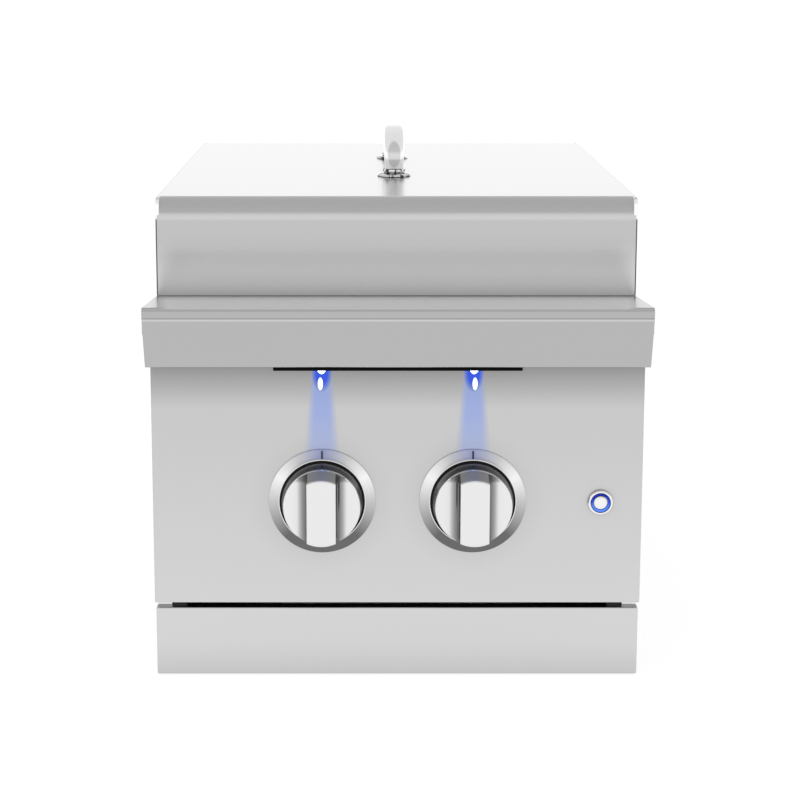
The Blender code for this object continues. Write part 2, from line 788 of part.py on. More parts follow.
def burner_pan():
    """The enamelled well that the burners stand in."""
    pan = tray(
        "burner_pan",
        (PAN_W, PAN_D, PAN_DEPTH),
        PAN_CORNER,
        PAN_FOOT,
        PAN_FLANGE,
        PAN_SHEET,
        ENAMEL,
        draft=PAN_DRAFT,
        at=(0, LID_Y, PAN_Z),
    )
    holes = []
    for end, y, way in BURNERS:
        place = {"at": (0, y, PAN_FLOOR_Z)}
        holes.append(drill("bowl_hole_" + end, BASE_BOWL + HOLE_CLEAR, PAN_DEPTH, **place))
        place = {"at": (*igniter_spot(y, way), PAN_FLOOR_Z)}
        radius = CERAMIC_RADIUS + HOLE_CLEAR
        holes.append(drill("igniter_hole_" + end, radius, PAN_DEPTH, SMALL_SIDES, **place))
    combine(pan, holes)


def igniter_spot(y, way):
    """Where an electrode stands beside its burner, towards the pan's middle."""
    angle = -way * IGNITER_ANGLE
    return (IGNITER_REACH * cos(angle), y + IGNITER_REACH * sin(angle))


def burner(end, y):
    """One burner: its cast bowl, its brass port ring and its cap."""
    floor = {"at": (0, y, PAN_FLOOR_Z)}
    inner = BASE_BOWL - BASE_WALL
    straight = -BASE_STRAIGHT
    cone = straight - BASE_CONE
    turned(
        end + "_burner_base",
        [
            (inner, BASE_FLANGE_H),
            (BASE_FLANGE, BASE_FLANGE_H),
            (BASE_FLANGE, GAP),
            (BASE_BOWL, GAP),
            (BASE_BOWL, straight),
            (NECK_RADIUS, cone),
            (NECK_RADIUS, cone - NECK_H),
            (NECK_BORE, cone - NECK_H),
            (NECK_BORE, cone + BASE_WALL / 2),
            (inner, straight + BASE_WALL / 2),
        ],
        ALUMINIUM,
        **floor,
    )
    low = BASE_FLANGE_H + GAP
    high = low + RING_H
    ring = turned(
        end + "_burner_ring",
        [(RING_BORE, high), (RING_RADIUS, high), (RING_RADIUS + HOLE_CLEAR, low), (RING_BORE, low)],
        BRASS,
        **floor,
    )
    teeth = bmesh.new()
    wall = RING_RADIUS - RING_BORE
    size = Matrix.Diagonal((wall + 2 * REACH, PORT_W, 2 * PORT_H, 1))
    for i in range(PORTS):
        turn = Matrix.Rotation(2 * pi * (i + 0.5) / PORTS, 4, "Z")
        out = Matrix.Translation((RING_BORE + wall / 2, 0, high))
        bmesh.ops.create_cube(teeth, size=1, matrix=turn @ out @ size)
    combine(ring, [cutter("port_slots_" + end, teeth, **floor)])
    low = high + GAP
    spigot = RING_BORE - PLUG_CLEAR
    turned(
        end + "_burner_cap",
        [
            (0, low + CAP_H),
            (CAP_RADIUS * 0.48, low + CAP_H * 0.93),
            (CAP_RADIUS * 0.80, low + CAP_H * 0.68),
            (CAP_RADIUS - CAP_WALL / 3, low + CAP_H * 0.32),
            (CAP_RADIUS, low),
            (spigot, low),
            (spigot, low - CAP_SPIGOT_H),
            (spigot - CAP_WALL, low - CAP_SPIGOT_H),
            (spigot - CAP_WALL, low + CAP_H * 0.32),
            (0, low + CAP_H - CAP_WALL),
        ],
        ENAMEL,
        **floor,
    )


def igniter(end, y, way):
    """A spark electrode: a ceramic body with a collar on the pan, and a bent wire."""
    x, spot = igniter_spot(y, way)
    low = GAP
    body = turned(
        end + "_igniter",
        [
            (0, CERAMIC_UP),
            (CERAMIC_RADIUS - FOLD_RADIUS, CERAMIC_UP),
            (CERAMIC_RADIUS, CERAMIC_UP - FOLD_RADIUS),
            (CERAMIC_RADIUS, low + COLLAR_H),
            (COLLAR_RADIUS, low + COLLAR_H),
            (COLLAR_RADIUS, low),
            (CERAMIC_RADIUS, low),
            (CERAMIC_RADIUS, -CERAMIC_DOWN),
            (0, -CERAMIC_DOWN),
        ],
        CERAMIC,
        SMALL_SIDES,
        at=(x, spot, PAN_FLOOR_Z),
    )
    inward = Vector((-x, y - spot, 0)).normalized()
    start = Vector((0, 0, CERAMIC_UP - REACH))
    knee = Vector((0, 0, CERAMIC_UP + WIRE_RISE))
    length = IGNITER_REACH - RING_RADIUS - HOLE_CLEAR - SPARK_GAP
    path = bent([start, knee, knee + inward * length], 2 * WIRE_RADIUS, 3)
    wire = rod(end + "_wire", path, WIRE_RADIUS, None, tool=True, at=(x, spot, PAN_FLOOR_Z))
    combine(body, [wire], "UNION")


def mixing_tube(end, x, y):
    """The tube that carries gas and air from a valve to its burner's neck."""
    mouth = SHUTTER_Y + MOUTH_SETBACK
    neck = PAN_FLOOR_Z - BASE_STRAIGHT - BASE_CONE - NECK_H
    route = [(x, mouth, KNOB_Z), (x, y - TUBE_TURN, KNOB_Z), (0, y, KNOB_Z), (0, y, neck + TUBE_SEAT)]
    tube = rod(end + "_mixing_tube", bent(route, TUBE_BEND), TUBE_RADIUS, ALUMINIUM, round_steps=TUBE_ROUND)
    route[0] = (x, mouth - REACH, KNOB_Z)
    route[-1] = (0, y, neck + TUBE_SEAT + REACH)
    inner = TUBE_RADIUS - TUBE_WALL
    bore = rod(end + "_bore", bent(route, TUBE_BEND), inner, None, round_steps=TUBE_ROUND, tool=True)
    combine(tube, [bore])
    shutter = turned(
        end + "_air_shutter",
        [
            (SHUTTER_HOLE, 0),
            (SHUTTER_RADIUS, 0),
            (SHUTTER_RADIUS, -SHUTTER_L),
            (SHUTTER_RADIUS - SHUTTER_WALL, -SHUTTER_L),
            (SHUTTER_RADIUS - SHUTTER_WALL, -SHUTTER_WALL),
            (SHUTTER_HOLE, -SHUTTER_WALL),
        ],
        PLAIN_STEEL,
        SMALL_SIDES,
        at=(x, SHUTTER_Y, KNOB_Z),
        turn=FRONT,
    )
    middle = SHUTTER_Y + 2 * SHUTTER_WALL + WINDOW_L / 2
    window = block(2 * SHUTTER_RADIUS + 2 * REACH, WINDOW_L, WINDOW_H)
    combine(shutter, [cutter("air_window_" + end, window, at=(x, middle, KNOB_Z))])


def grate(end, y):
    """A lift-off pan support of bent rods, its side rods lying on the pan's flange."""
    carrier = empty(end + "_grate_frame", (0, y, PAN_Z + PAN_SHEET + GAP + ROD))
    outline = [(px, py, 0) for px, py in rounded(GRATE_W, GRATE_D, GRATE_CORNER)]
    frame = rod(end + "_grate", outline, ROD, POLISHED, closed=True, parent=carrier)
    fingers = []
    for way in (-1, 1):
        for row in FINGER_ROWS:
            start = (way * GRATE_W / 2, row, 0)
            knee = (way * (GRATE_W / 2 - FINGER_RISE), row, FINGER_RISE)
            fingers.append([start, knee, (way * FINGER_STOP, row, FINGER_RISE)])
        start = (0, way * GRATE_D / 2, 0)
        knee = (0, way * (GRATE_D / 2 - FINGER_RISE), FINGER_RISE)
        fingers.append([start, knee, (0, way * FINGER_STOP, FINGER_RISE)])
    bars = []
    for number, path in enumerate(fingers):
        name = end + "_finger_" + str(number)
        bars.append(rod(name, bent(path, FINGER_BEND, 2), FINGER_ROD, None, tool=True, parent=carrier))
    combine(frame, bars, "UNION")


# Gas train and controls


def gas_train():
    """The manifold behind the panel, the supply pipe and the inlet at the rear."""
    left = (-MANIFOLD_LEFT, MANIFOLD_Y, MANIFOLD_Z)
    right = (MANIFOLD_RIGHT, MANIFOLD_Y, MANIFOLD_Z)
    rod("manifold", [left, right], MANIFOLD_RADIUS, PLAIN_STEEL, round_steps=6)
    start = (MANIFOLD_RIGHT + GAP, MANIFOLD_Y, MANIFOLD_Z)
    end = (PIPE_X, BOX_D / 2 - PIPE_END, MANIFOLD_Z)
    route = bent([start, (PIPE_X, MANIFOLD_Y, MANIFOLD_Z), end], PIPE_BEND)
    rod("gas_supply_pipe", route, PIPE_RADIUS, BRASS, round_steps=4)
    inner = -(PIPE_END + BOX_SHEET)
    turned(
        "gas_inlet",
        [
            (0, INLET_FLANGE_H),
            (INLET_BORE, INLET_FLANGE_H),
            (INLET_BORE, INLET_OUT),
            (INLET_TIP, INLET_OUT),
            (INLET_BARREL, INLET_OUT - INLET_FLARE),
            (INLET_BARREL, GAP + INLET_FLANGE_H),
            (INLET_FLANGE, GAP + INLET_FLANGE_H),
            (INLET_FLANGE, GAP),
            (INLET_BARREL, GAP),
            (INLET_BARREL, inner),
            (0, inner),
        ],
        BRASS,
        SMALL_SIDES,
        at=(PIPE_X, REAR_Y, MANIFOLD_Z),
        turn=BACK,
    )
    turned(
        "power_inlet",
        [
            (0, GAP),
            (POWER_BORE, GAP),
            (POWER_BORE, POWER_OUT),
            (POWER_BARREL, POWER_OUT),
            (POWER_BARREL, GAP + POWER_FLANGE_H),
            (POWER_FLANGE, GAP + POWER_FLANGE_H),
            (POWER_FLANGE, GAP),
            (POWER_BARREL, GAP),
            (POWER_BARREL, -POWER_OUT),
            (0, -POWER_OUT),
        ],
        BLACK,
        SMALL_SIDES,
        at=(POWER_X, REAR_Y, MANIFOLD_Z),
        turn=BACK,
    )


def control(side, x):
    """One knob and its valve, built along the valve's axis; +Z faces the cook."""
    axis = empty(side + "_valve_axis", (x, PANEL_Y, KNOB_Z), FRONT)
    here = {"parent": axis}
    mouth = BEZEL_MOUTH + BEZEL_RIM
    turned(
        side + "_bezel",
        [
            (BEZEL_MOUTH, BEZEL_H),
            (mouth, BEZEL_H),
            (BEZEL_RADIUS, GAP + BEZEL_EDGE),
            (BEZEL_RADIUS, GAP),
            (STEM_HOLE, GAP),
            (STEM_HOLE, GAP + BEZEL_FLOOR),
            (BEZEL_MOUTH, GAP + BEZEL_FLOOR),
        ],
        BRUSHED,
        2 * SMALL_SIDES,
        **here,
    )
    knob(side, here)
    bonnet = -PANEL_SHEET - GAP
    turned(
        side + "_valve_bonnet",
        [
            (STEM_RADIUS + STEM_CLEAR, GLAND_PROUD),
            (GLAND_RADIUS, GLAND_PROUD),
            (GLAND_RADIUS, bonnet),
            (BONNET_RADIUS, bonnet),
            (BONNET_RADIUS, bonnet - BONNET_T),
            (STEM_RADIUS + STEM_CLEAR, bonnet - BONNET_T),
        ],
        ALUMINIUM,
        SMALL_SIDES,
        **here,
    )
    front = VALVE_FRONT
    rear = front - VALVE_L
    neck = VALVE_REAR
    cavity = front - PLUG_L - GAP
    body = turned(
        side + "_valve_body",
        [
            (PLUG_FRONT + PLUG_CLEAR, front),
            (VALVE_RADIUS, front),
            (VALVE_RADIUS, rear),
            (VALVE_NECK, rear - PASSAGE),
            (VALVE_NECK, neck),
            (PASSAGE, neck),
            (PASSAGE, cavity),
            (PLUG_REAR + PLUG_CLEAR, cavity),
        ],
        ALUMINIUM,
        SMALL_SIDES,
        **here,
    )
    top = -(MANIFOLD_DROP - MANIFOLD_RADIUS - GAP)
    wall = -(PLUG_FRONT + 2 * PLUG_CLEAR)
    place = {"parent": axis, "at": (0, (top + wall) / 2, -MANIFOLD_DEPTH), "turn": FRONT}
    stub = drill(side + "_inlet_stub", INLET_STUB, wall - top, SMALL_SIDES, **place)
    combine(body, [stub], "UNION")
    plug = turned(
        side + "_valve_plug",
        [
            (0, front - PLUG_COUNTERBORE),
            (STEM_RADIUS + PLUG_CLEAR, front - PLUG_COUNTERBORE),
            (STEM_RADIUS + PLUG_CLEAR, front),
            (PLUG_FRONT, front),
            (PLUG_REAR, front - PLUG_L),
            (0, front - PLUG_L),
        ],
        BRASS,
        SMALL_SIDES,
        **here,
    )
    tang_front = front - PLUG_COUNTERBORE + PUSH + STOP_CLEAR
    tang_rear = tang_front - TANG_L
    slot_rear = tang_rear - PUSH - STOP_CLEAR
    slot_front = front - PLUG_COUNTERBORE + REACH
    depth = slot_front - slot_rear
    slot = block(TANG_W + 2 * PLUG_CLEAR, TANG_T + 2 * PLUG_CLEAR, depth, (0, 0, slot_rear + depth / 2))
    combine(plug, [cutter(side + "_plug_slot", slot, **here)])
    stem = turned(
        side + "_valve_stem",
        [(0, STEM_FRONT), (STEM_RADIUS, STEM_FRONT), (STEM_RADIUS, tang_front), (0, tang_front)],
        BRASS,
        SMALL_SIDES,
        **here,
    )
    length = TANG_L + REACH
    tang = block(TANG_W, TANG_T, length, (0, 0, tang_rear + length / 2))
    combine(stem, [cutter(side + "_tang", tang, **here)], "UNION")
    orifice = neck - GAP
    tip = orifice - ORIFICE_HEX_L - ORIFICE_NOSE_L
    nose = turned(
        side + "_gas_orifice",
        [
            (0, orifice - REACH),
            (ORIFICE_NOSE, orifice - REACH),
            (ORIFICE_NOSE, tip + REACH),
            (ORIFICE_NOSE - PASSAGE, tip),
            (0, tip),
        ],
        BRASS,
        SMALL_SIDES,
        **here,
    )
    place = {"parent": axis, "at": (0, 0, orifice - ORIFICE_HEX_L / 2)}
    combine(nose, [drill(side + "_hexagon", ORIFICE_HEX, ORIFICE_HEX_L, 6, **place)], "UNION")


def knob(side, here):
    """A cast knob: a turned skirt with a hollow back, milled to leave an upright grip."""
    inside = KNOB_FACE - KNOB_WALL
    bore = STEM_RADIUS + STEM_CLEAR
    blank = turned(
        side + "_knob",
        [
            (0, KNOB_TOP),
            (KNOB_TOP_RADIUS - KNOB_EDGE, KNOB_TOP),
            (KNOB_TOP_RADIUS, KNOB_TOP - KNOB_EDGE),
            (KNOB_FACE_RADIUS - KNOB_EDGE, KNOB_FACE),
            (KNOB_FACE_RADIUS, KNOB_FACE - KNOB_EDGE),
            (KNOB_SKIRT, KNOB_BACK),
            (KNOB_SKIRT - KNOB_WALL, KNOB_BACK),
            (KNOB_FACE_RADIUS - KNOB_WALL, inside),
            (KNOB_HUB, inside),
            (KNOB_HUB, KNOB_BACK),
            (bore, KNOB_BACK),
            (bore, STEM_FRONT + GAP),
            (0, STEM_FRONT + GAP),
        ],
        ZINC,
        2 * SMALL_SIDES,
        **here,
    )
    half = GRIP_W / 2
    top = KNOB_TOP + REACH
    cove = arc((half + GRIP_COVE, KNOB_FACE + GRIP_COVE), GRIP_COVE, 180, 270)
    outline = [(half, top), *cove, (2 * KNOB_SKIRT, KNOB_FACE), (2 * KNOB_SKIRT, top)]
    mills = []
    for way, flank in ((-1, "left"), (1, "right")):
        edge = [(way * x, y) for x, y in outline]
        name = side + "_knob_mill_" + flank
        mills.append(plate(name, [edge], 4 * KNOB_SKIRT, None, tool=True, turn=FRONT, **here))
    combine(blank, mills)


def light_switch():
    """The push switch beside the knobs, with its lit ring, its button and its nut."""
    axis = empty("switch_axis", (SWITCH_X, PANEL_Y, SWITCH_Z), FRONT)
    here = {"parent": axis}
    bore = BUTTON_RADIUS + NUT_CLEAR
    turned(
        "switch_housing",
        [
            (SWITCH_RECESS, SWITCH_H),
            (SWITCH_RADIUS - SWITCH_ROUND, SWITCH_H),
            (SWITCH_RADIUS, SWITCH_H - SWITCH_ROUND),
            (SWITCH_RADIUS, GAP),
            (SWITCH_BARREL, GAP),
            (SWITCH_BARREL, GAP - SWITCH_L),
            (SWITCH_WIRE_HOLE, GAP - SWITCH_L),
            (SWITCH_WIRE_HOLE, GAP - SWITCH_L + SWITCH_WALL),
            (bore, GAP - SWITCH_L + SWITCH_WALL),
            (bore, SWITCH_RECESS_FLOOR),
            (SWITCH_RECESS, SWITCH_RECESS_FLOOR),
        ],
        POLISHED,
        **here,
    )
    floor = SWITCH_RECESS_FLOOR + GAP
    turned(
        "switch_light_ring",
        [
            (bore + NUT_CLEAR, SWITCH_H - GAP),
            (SWITCH_RECESS - NUT_CLEAR, SWITCH_H - GAP),
            (SWITCH_RECESS - NUT_CLEAR, floor),
            (bore + NUT_CLEAR, floor),
        ],
        BLUE_LENS,
        **here,
    )
    turned(
        "switch_button",
        [
            (0, BUTTON_PROUD),
            (BUTTON_RADIUS - SWITCH_ROUND, BUTTON_PROUD),
            (BUTTON_RADIUS, BUTTON_PROUD - SWITCH_ROUND),
            (BUTTON_RADIUS, BUTTON_PROUD - BUTTON_L),
            (0, BUTTON_PROUD - BUTTON_L),
        ],
        POLISHED,
        **here,
    )
    nut_front = -PANEL_SHEET - GAP
    outlines = [circle(NUT_RADIUS, sides=6), circle(SWITCH_BARREL + NUT_CLEAR)]
    place = {"parent": axis, "at": (0, 0, nut_front - NUT_H / 2)}
    plate("switch_nut", outlines, NUT_H, PLAIN_STEEL, **place)


def lights():
    """The dark lamp bar tucked under the fascia, with a lamp over each knob."""
    middle = PANEL_Y - LIGHT_BACK - LIGHT_D / 2
    top = FASCIA_Z - GAP
    place = {"at": (0, middle, top - LIGHT_H / 2)}
    plate("light_bar", [rounded(LIGHT_W, LIGHT_D, LIGHT_EDGE, steps=3)], LIGHT_H, BLACK, **place)
    for side, x in SIDES_X:
        turned(
            side + "_lamp",
            [
                (0, -GAP),
                (LAMP_RADIUS, -GAP),
                (LAMP_RADIUS, -LAMP_RIM),
                (LAMP_RADIUS * 0.72, -LAMP_H * 0.75),
                (0, -LAMP_H),
            ],
            LAMP_LENS,
            SMALL_SIDES,
            at=(x, middle, top - LIGHT_H),
        )


# Lid


def lid():
    """The lift-off cover: a rolled sheet, two end plates and an arched grip."""
    carrier = empty("lid_frame", (0, LID_Y, LID_Z))
    half = LID_D / 2
    front = arc((-half + LID_ROLL, LID_H - LID_ROLL), LID_ROLL, 180, 90, 8)
    rear = arc((half - LID_ROLL, LID_H - LID_ROLL), LID_ROLL, 90, 0, 8)
    section = [(LID_HEM - half, 0), (-half, 0), *front, *rear, (half, 0), (half - LID_HEM, 0)]
    bm = prism(section, LID_W - 2 * (LID_END + GAP))
    for direction in ((0, 0, -1), (1, 0, 0), (-1, 0, 0)):
        open_face(bm, direction)
    shell = solid("lid_shell", bm, BRUSHED, LID_SHEET, parent=carrier)
    feet = (("front", -HANDLE_SPAN / 2), ("rear", HANDLE_SPAN / 2))
    hole = SCREW_RADIUS + SCREW_CLEAR
    holes = []
    for end, y in feet:
        place = {"parent": carrier, "at": (0, y, LID_H)}
        holes.append(drill("screw_hole_" + end, hole, LID_ROLL, SMALL_SIDES, **place))
    combine(shell, holes)
    corner = LID_END_CORNER
    outline = [
        (-half, 0),
        (half, 0),
        *arc((half - corner, LID_H - corner), corner, 0, 90),
        *arc((corner - half, LID_H - corner), corner, 90, 180),
    ]
    for side, way in (("left", -1), ("right", 1)):
        place = {"parent": carrier, "at": (way * (LID_W - LID_END) / 2, 0, 0), "turn": SIDE}
        plate(side + "_lid_end", [outline], LID_END, BRUSHED, **place)
    foot = LID_H + GAP + ROSETTE_H + GAP
    rise = LID_H + HANDLE_RISE - HANDLE_RADIUS - foot
    path, radii = arched_grip(HANDLE_SPAN, rise)
    grip = rod(
        "lid_handle",
        [(0, y, foot + z) for y, z in path],
        HANDLE_RADIUS,
        POLISHED,
        round_steps=5,
        radii=radii,
        parent=carrier,
    )
    bores = []
    under = LID_H - LID_SHEET - GAP
    for end, y in feet:
        place = {"parent": carrier, "at": (0, y, LID_H)}
        turned(
            end + "_handle_rosette",
            [
                (hole, ROSETTE_H + GAP),
                (ROSETTE_NECK, ROSETTE_H + GAP),
                (ROSETTE_NECK + FOLD_RADIUS, ROSETTE_H / 2),
                (ROSETTE_RADIUS - FOLD_RADIUS / 2, ROSETTE_H / 4),
                (ROSETTE_RADIUS, GAP + FOLD_RADIUS / 2),
                (ROSETTE_RADIUS, GAP),
                (hole, GAP),
            ],
            POLISHED,
            **place,
        )
        place = {"parent": carrier, "at": (0, y, foot)}
        bores.append(drill(end + "_handle_bore", hole, 2 * (SCREW_BITE + REACH), SMALL_SIDES, **place))
        place = {"parent": carrier, "at": (0, y, under)}
        turned(
            end + "_handle_screw",
            [
                (0, foot - under + SCREW_BITE),
                (SCREW_RADIUS, foot - under + SCREW_BITE),
                (SCREW_RADIUS, 0),
                (SCREW_HEAD, 0),
                (SCREW_HEAD, FOLD_RADIUS - SCREW_HEAD_H),
                (SCREW_HEAD - FOLD_RADIUS, -SCREW_HEAD_H),
                (0, -SCREW_HEAD_H),
            ],
            PLAIN_STEEL,
            SMALL_SIDES,
            **place,
        )
    combine(grip, bores)


def arched_grip(span, rise):
    """Points of a square-shouldered arch, and the bar's radius at each."""
    path = [(-span / 2, 0)]
    radii = [HANDLE_FOOT_RADIUS]
    for i in range(HANDLE_STEPS + 1):
        swing = pi * i / HANDLE_STEPS
        along = copysign(abs(cos(swing)) ** (2 / HANDLE_POWER), -cos(swing))
        height = max(0, sin(swing)) ** (2 / HANDLE_POWER)
        path.append((span / 2 * along, HANDLE_LEG + (rise - HANDLE_LEG) * height))
        radii.append(HANDLE_FOOT_RADIUS + (HANDLE_RADIUS - HANDLE_FOOT_RADIUS) * sin(swing))
    path.append((span / 2, 0))
    radii.append(HANDLE_FOOT_RADIUS)
    return path, radii


burner_box()
rear_panel()
deck()
front_fascia()
control_panel()
heat_shield()
tray_rails()
drip_tray()
burner_pan()
for (end, y, way), x in zip(BURNERS, (-KNOB_X, KNOB_X)):
    burner(end, y)
    igniter(end, y, way)
    mixing_tube(end, x, y)
    grate(end, y)
gas_train()
for side, x in SIDES_X:
    control(side, x)
light_switch()
lights()
lid()
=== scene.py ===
"""The looks of the double side burner: brushed steel, lit lamps and fine shapes.

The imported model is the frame. Pieces are in metres in its frame, +Z up, and the cook
stands towards -Y. Sheets keep the frame's shape with softened edges; what the eye meets
first, such as the lid, its handle, the knobs and the burners, is built finer here.
"""

import json
from math import copysign, cos, pi, radians, sin

import bmesh
import bpy
from mathutils import Matrix, Vector


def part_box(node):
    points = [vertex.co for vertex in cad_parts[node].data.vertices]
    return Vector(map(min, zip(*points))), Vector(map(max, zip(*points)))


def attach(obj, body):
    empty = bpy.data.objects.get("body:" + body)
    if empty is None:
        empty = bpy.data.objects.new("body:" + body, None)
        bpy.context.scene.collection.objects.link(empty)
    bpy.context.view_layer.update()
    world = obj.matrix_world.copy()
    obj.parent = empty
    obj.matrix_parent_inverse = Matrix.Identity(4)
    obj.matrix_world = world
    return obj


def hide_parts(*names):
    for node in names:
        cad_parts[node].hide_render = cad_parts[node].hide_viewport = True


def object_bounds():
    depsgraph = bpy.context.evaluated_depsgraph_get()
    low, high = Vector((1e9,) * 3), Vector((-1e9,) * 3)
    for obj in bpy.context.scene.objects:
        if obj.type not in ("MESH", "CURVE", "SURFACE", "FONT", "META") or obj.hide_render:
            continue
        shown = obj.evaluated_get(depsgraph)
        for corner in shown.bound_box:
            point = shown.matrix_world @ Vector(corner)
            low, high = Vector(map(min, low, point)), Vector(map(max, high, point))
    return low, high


# Camera and studio
CAMERA_AT = (-0.0216, -1.7089, 0.5605)
CAMERA_PITCH = 10.0  # degrees below the horizon
CAMERA_LENS = 85.4
CAMERA_SENSOR = 36
CAMERA_SHIFT = (0.0379, -0.1363)
FLOOR_SIZE = 12.0
FLOOR_GAP = 0.0002  # between the floor and the part
FLOOR_GREY = 0.85
FLOOR_WHITE = 0.85  # share of the floor's look that no shadow dims
FLOOR_GLOW = 1.06
ROOM_LIGHT = 1.0
BACKDROP = (  # tone by the height of the view's direction, 0 straight down and 1 straight up
    (0.0, 1.0),
    (0.49, 1.02),
    (0.58, 1.06),
    (0.64, 1.02),
    (0.72, 0.80),
    (1.0, 0.74),
)
REAR_GLOW = (  # added to it towards the rear
    (0.0, 0.0),
    (0.48, 0.15),
    (0.52, 0.30),
    (0.565, 0.32),
    (0.58, 0.55),
    (0.60, 0.2),
    (0.66, 0.0),
)
KEY_AT = (-1.3, -1.4, 1.9)
KEY_AIM = (0, 0, 0.2)
KEY_SIZE = (1.6, 1.2)
KEY_POWER = 9

# Grain of brushed steel, in cells of its noise for each metre
GRAIN_X = (2, 180, 180)  # lines along X
GRAIN_Y = (180, 2, 180)  # lines along Y
GRAIN_BUMP = (0.005, 0.00003)  # strength, height
NOISE_RANGE = (0.3, 0.7)  # where nearly all of a noise lies

# Tones of sheets, by metres along an axis, most of them painted light and shade
DECK_SHADE_TONES = (  # painted shade along Y, darker on the nose's front and towards the lid
    (-0.2935, 0.47),
    (-0.2912, 0.80),
    (-0.235, 0.80),
    (-0.205, 0.66),
    (-0.192, 0.60),
)
LID_LIGHT_AND_SHADE = (  # painted light and shade along Z: a brighter foot, a highlight at the roll's foot and a darker roll
    (0.296, 0.76),
    (0.310, 0.71),
    (0.322, 0.60),
    (0.334, 0.53),
    (0.3500, 0.53),
    (0.3530, 0.62),
    (0.3570, 0.515),
    (0.3682, 0.515),
    (0.3687, 0.53),
)
LID_PLAIN = 0.53  # tone of the lid's rear and ends
END_LIGHT_AND_SHADE = (  # painted shade and highlight along Z, on the end plates' edges: a dark line below the roll, a bright strip beside it
    (0.3510, 0.10),
    (0.3525, 1.0),
    (0.3672, 1.0),
    (0.3684, 0.55),
)
DECK_END_SHADE = 0.56  # painted shade on the ledge past the lid's ends, as a share of its tone
DECK_END_SOFT = 0.008  # width of that zone's soft edge
DECK_END_SLANT = 0.13  # how far that zone widens for each metre towards the nose
LEDGE_REAR = (-0.190, -0.200)  # along Y, where that share starts and is whole
LEDGE_NOSE = (-0.2930, -0.2918)  # along Y, where it has ended and where, behind that, it is still whole
FASCIA_TONE = 0.475
FASCIA_LINE = (0.0021, 0.0013)  # below the fascia's top, where the painted highlight along its upper edge starts and is whole
# tone of that painted highlight
FASCIA_HIGHLIGHT_TONE = 0.61
LID_SATIN = ((0.300, 0.42), (0.335, 0.22))  # roughness along Z
TRAY_SHADE_TONES = ((-0.2820, 0.66), (-0.2808, 0.66), (-0.2800, 0.28), (-0.2700, 0.28))  # painted shade along Y, dark behind the tray's front face

# Softened edges of sheets and castings
EDGE = 0.0003
EDGE_SHARP = radians(50)
EDGE_FINE = 0.0002
EDGE_WIDE = 0.0004
WELD = 0.000005  # points that lie closer are joined
FLAT = radians(0.5)  # faces that meet at less are joined

# Lid
LID_ROLL = 0.0160
LID_ROLL_STEPS = 20
LID_HEM = 0.0080
LID_SHEET = 0.0015
END_SHOW = 0.0011  # part of an end plate's edge that the sheet leaves bare
END_INSET = 0.00015  # of the plate behind the sheet
HANDLE_POWER = 3.4  # how square the arch is; 2 makes an ellipse
HANDLE_SQUARE = 4.5  # the same for the bar's section
HANDLE_FLAT = 0.82  # thickness of the grip to its width
HANDLE_SWELL = 0.4  # how soon the bar reaches its full width, less is sooner
HANDLE_LEG = 0.003  # straight part at each foot
HANDLE_FOOT = 0.0082  # radius at each foot
HANDLE_STEPS = 72
HANDLE_SIDES = 48
# A painted grey reflection in an oval on the handle's front bend
OVAL_AT = 0.66  # of the handle's height, down from its top
OVAL_SIZE = (0.0062, 0.0125)
OVAL_FIRM = 3.0
OVAL_REFLECTION_TONE = 0.68
COLLAR_REFLECTION_TONES = ((0.42, 0.06), (0.50, 0.95))  # painted dark reflections, by a noise
COLLAR_SHAPE = (  # share of its radius, share of its height
    (0.25, 1.0),
    (0.63, 1.0),
    (0.65, 0.93),
    (0.65, 0.62),
    (0.58, 0.58),
    (0.58, 0.46),
    (0.72, 0.42),
    (0.86, 0.33),
    (0.95, 0.26),
    (0.95, 0.16),
)
COLLAR_RIM = 0.0007  # inset of the step above the rim
COLLAR_FOOT = (0.14, 0.07)  # share of its height, at that step and at the rim's upper edge

# Knobs
KNOB_EDGE = 0.00045
KNOB_WALL = 0.0030
KNOB_TAPER = 0.94  # share of its radius at the hollow's front, less the wall
KNOB_HEEL = 0.0006  # chamfer at the skirt's rear edge
KNOB_CROWN = ((0.78, 0.0), (0.815, 0.0003), (0.832, 0.0011))  # share of its radius, drop from its top
KNOB_BROW = ((0.925, 0.0), (0.940, 0.0005), (0.948, 0.0012))  # share of its radius, drop from its flanks
BROW_FROM = 0.925  # share of the radius where its polished brow starts
SKIRT_FROM = 0.947  # share of the radius where its side with a painted dark reflection starts
HUB_OUTER = 0.0090  # of the tube inside that takes the stem
HUB_BORE = 0.0043
HUB_DEPTH = 0.0223
GRIP_W = 0.0221
GRIP_COVE = 0.0080
GRIP_COVE_STEPS = 12
GRIP_FACE = 0.0180  # depth of the flat flanks beside the grip, below its top
MILL_OVER = 0.01  # how far the mill's form stands above the knob
KNOB_BARE = (0.0006, 0.0026)  # behind the grip's front, where its painted shade and reflection start and are whole
GRIP_BARE = 0.0003  # in from the grip's sides, where its painted shade has ended
KNOB_ROUGH = 0.14
SLOPE_FROM = 0.0195  # height above the knob's middle where a painted dark reflection on its face starts
SLOPE_SOFT = 0.0025
# tone of that painted dark reflection
SLOPE_REFLECTION_DIM = 0.56
SLOPE_ROUGH = 0.50
COVE_SHADE_TONES = ((0.0, 0.26), (0.35, 0.31), (0.65, 0.54), (1.0, 1.0))  # painted shade in the coves, from the grip outwards
SKIRT_REFLECTION_BAND = 0.016  # length of the painted dark reflection along the knob's side
SKIRT_REFLECTION_TONES = ((0.0, 0.07), (0.5, 0.07), (0.75, 0.45), (1.0, 0.55))  # painted dark reflection along that band, from its front
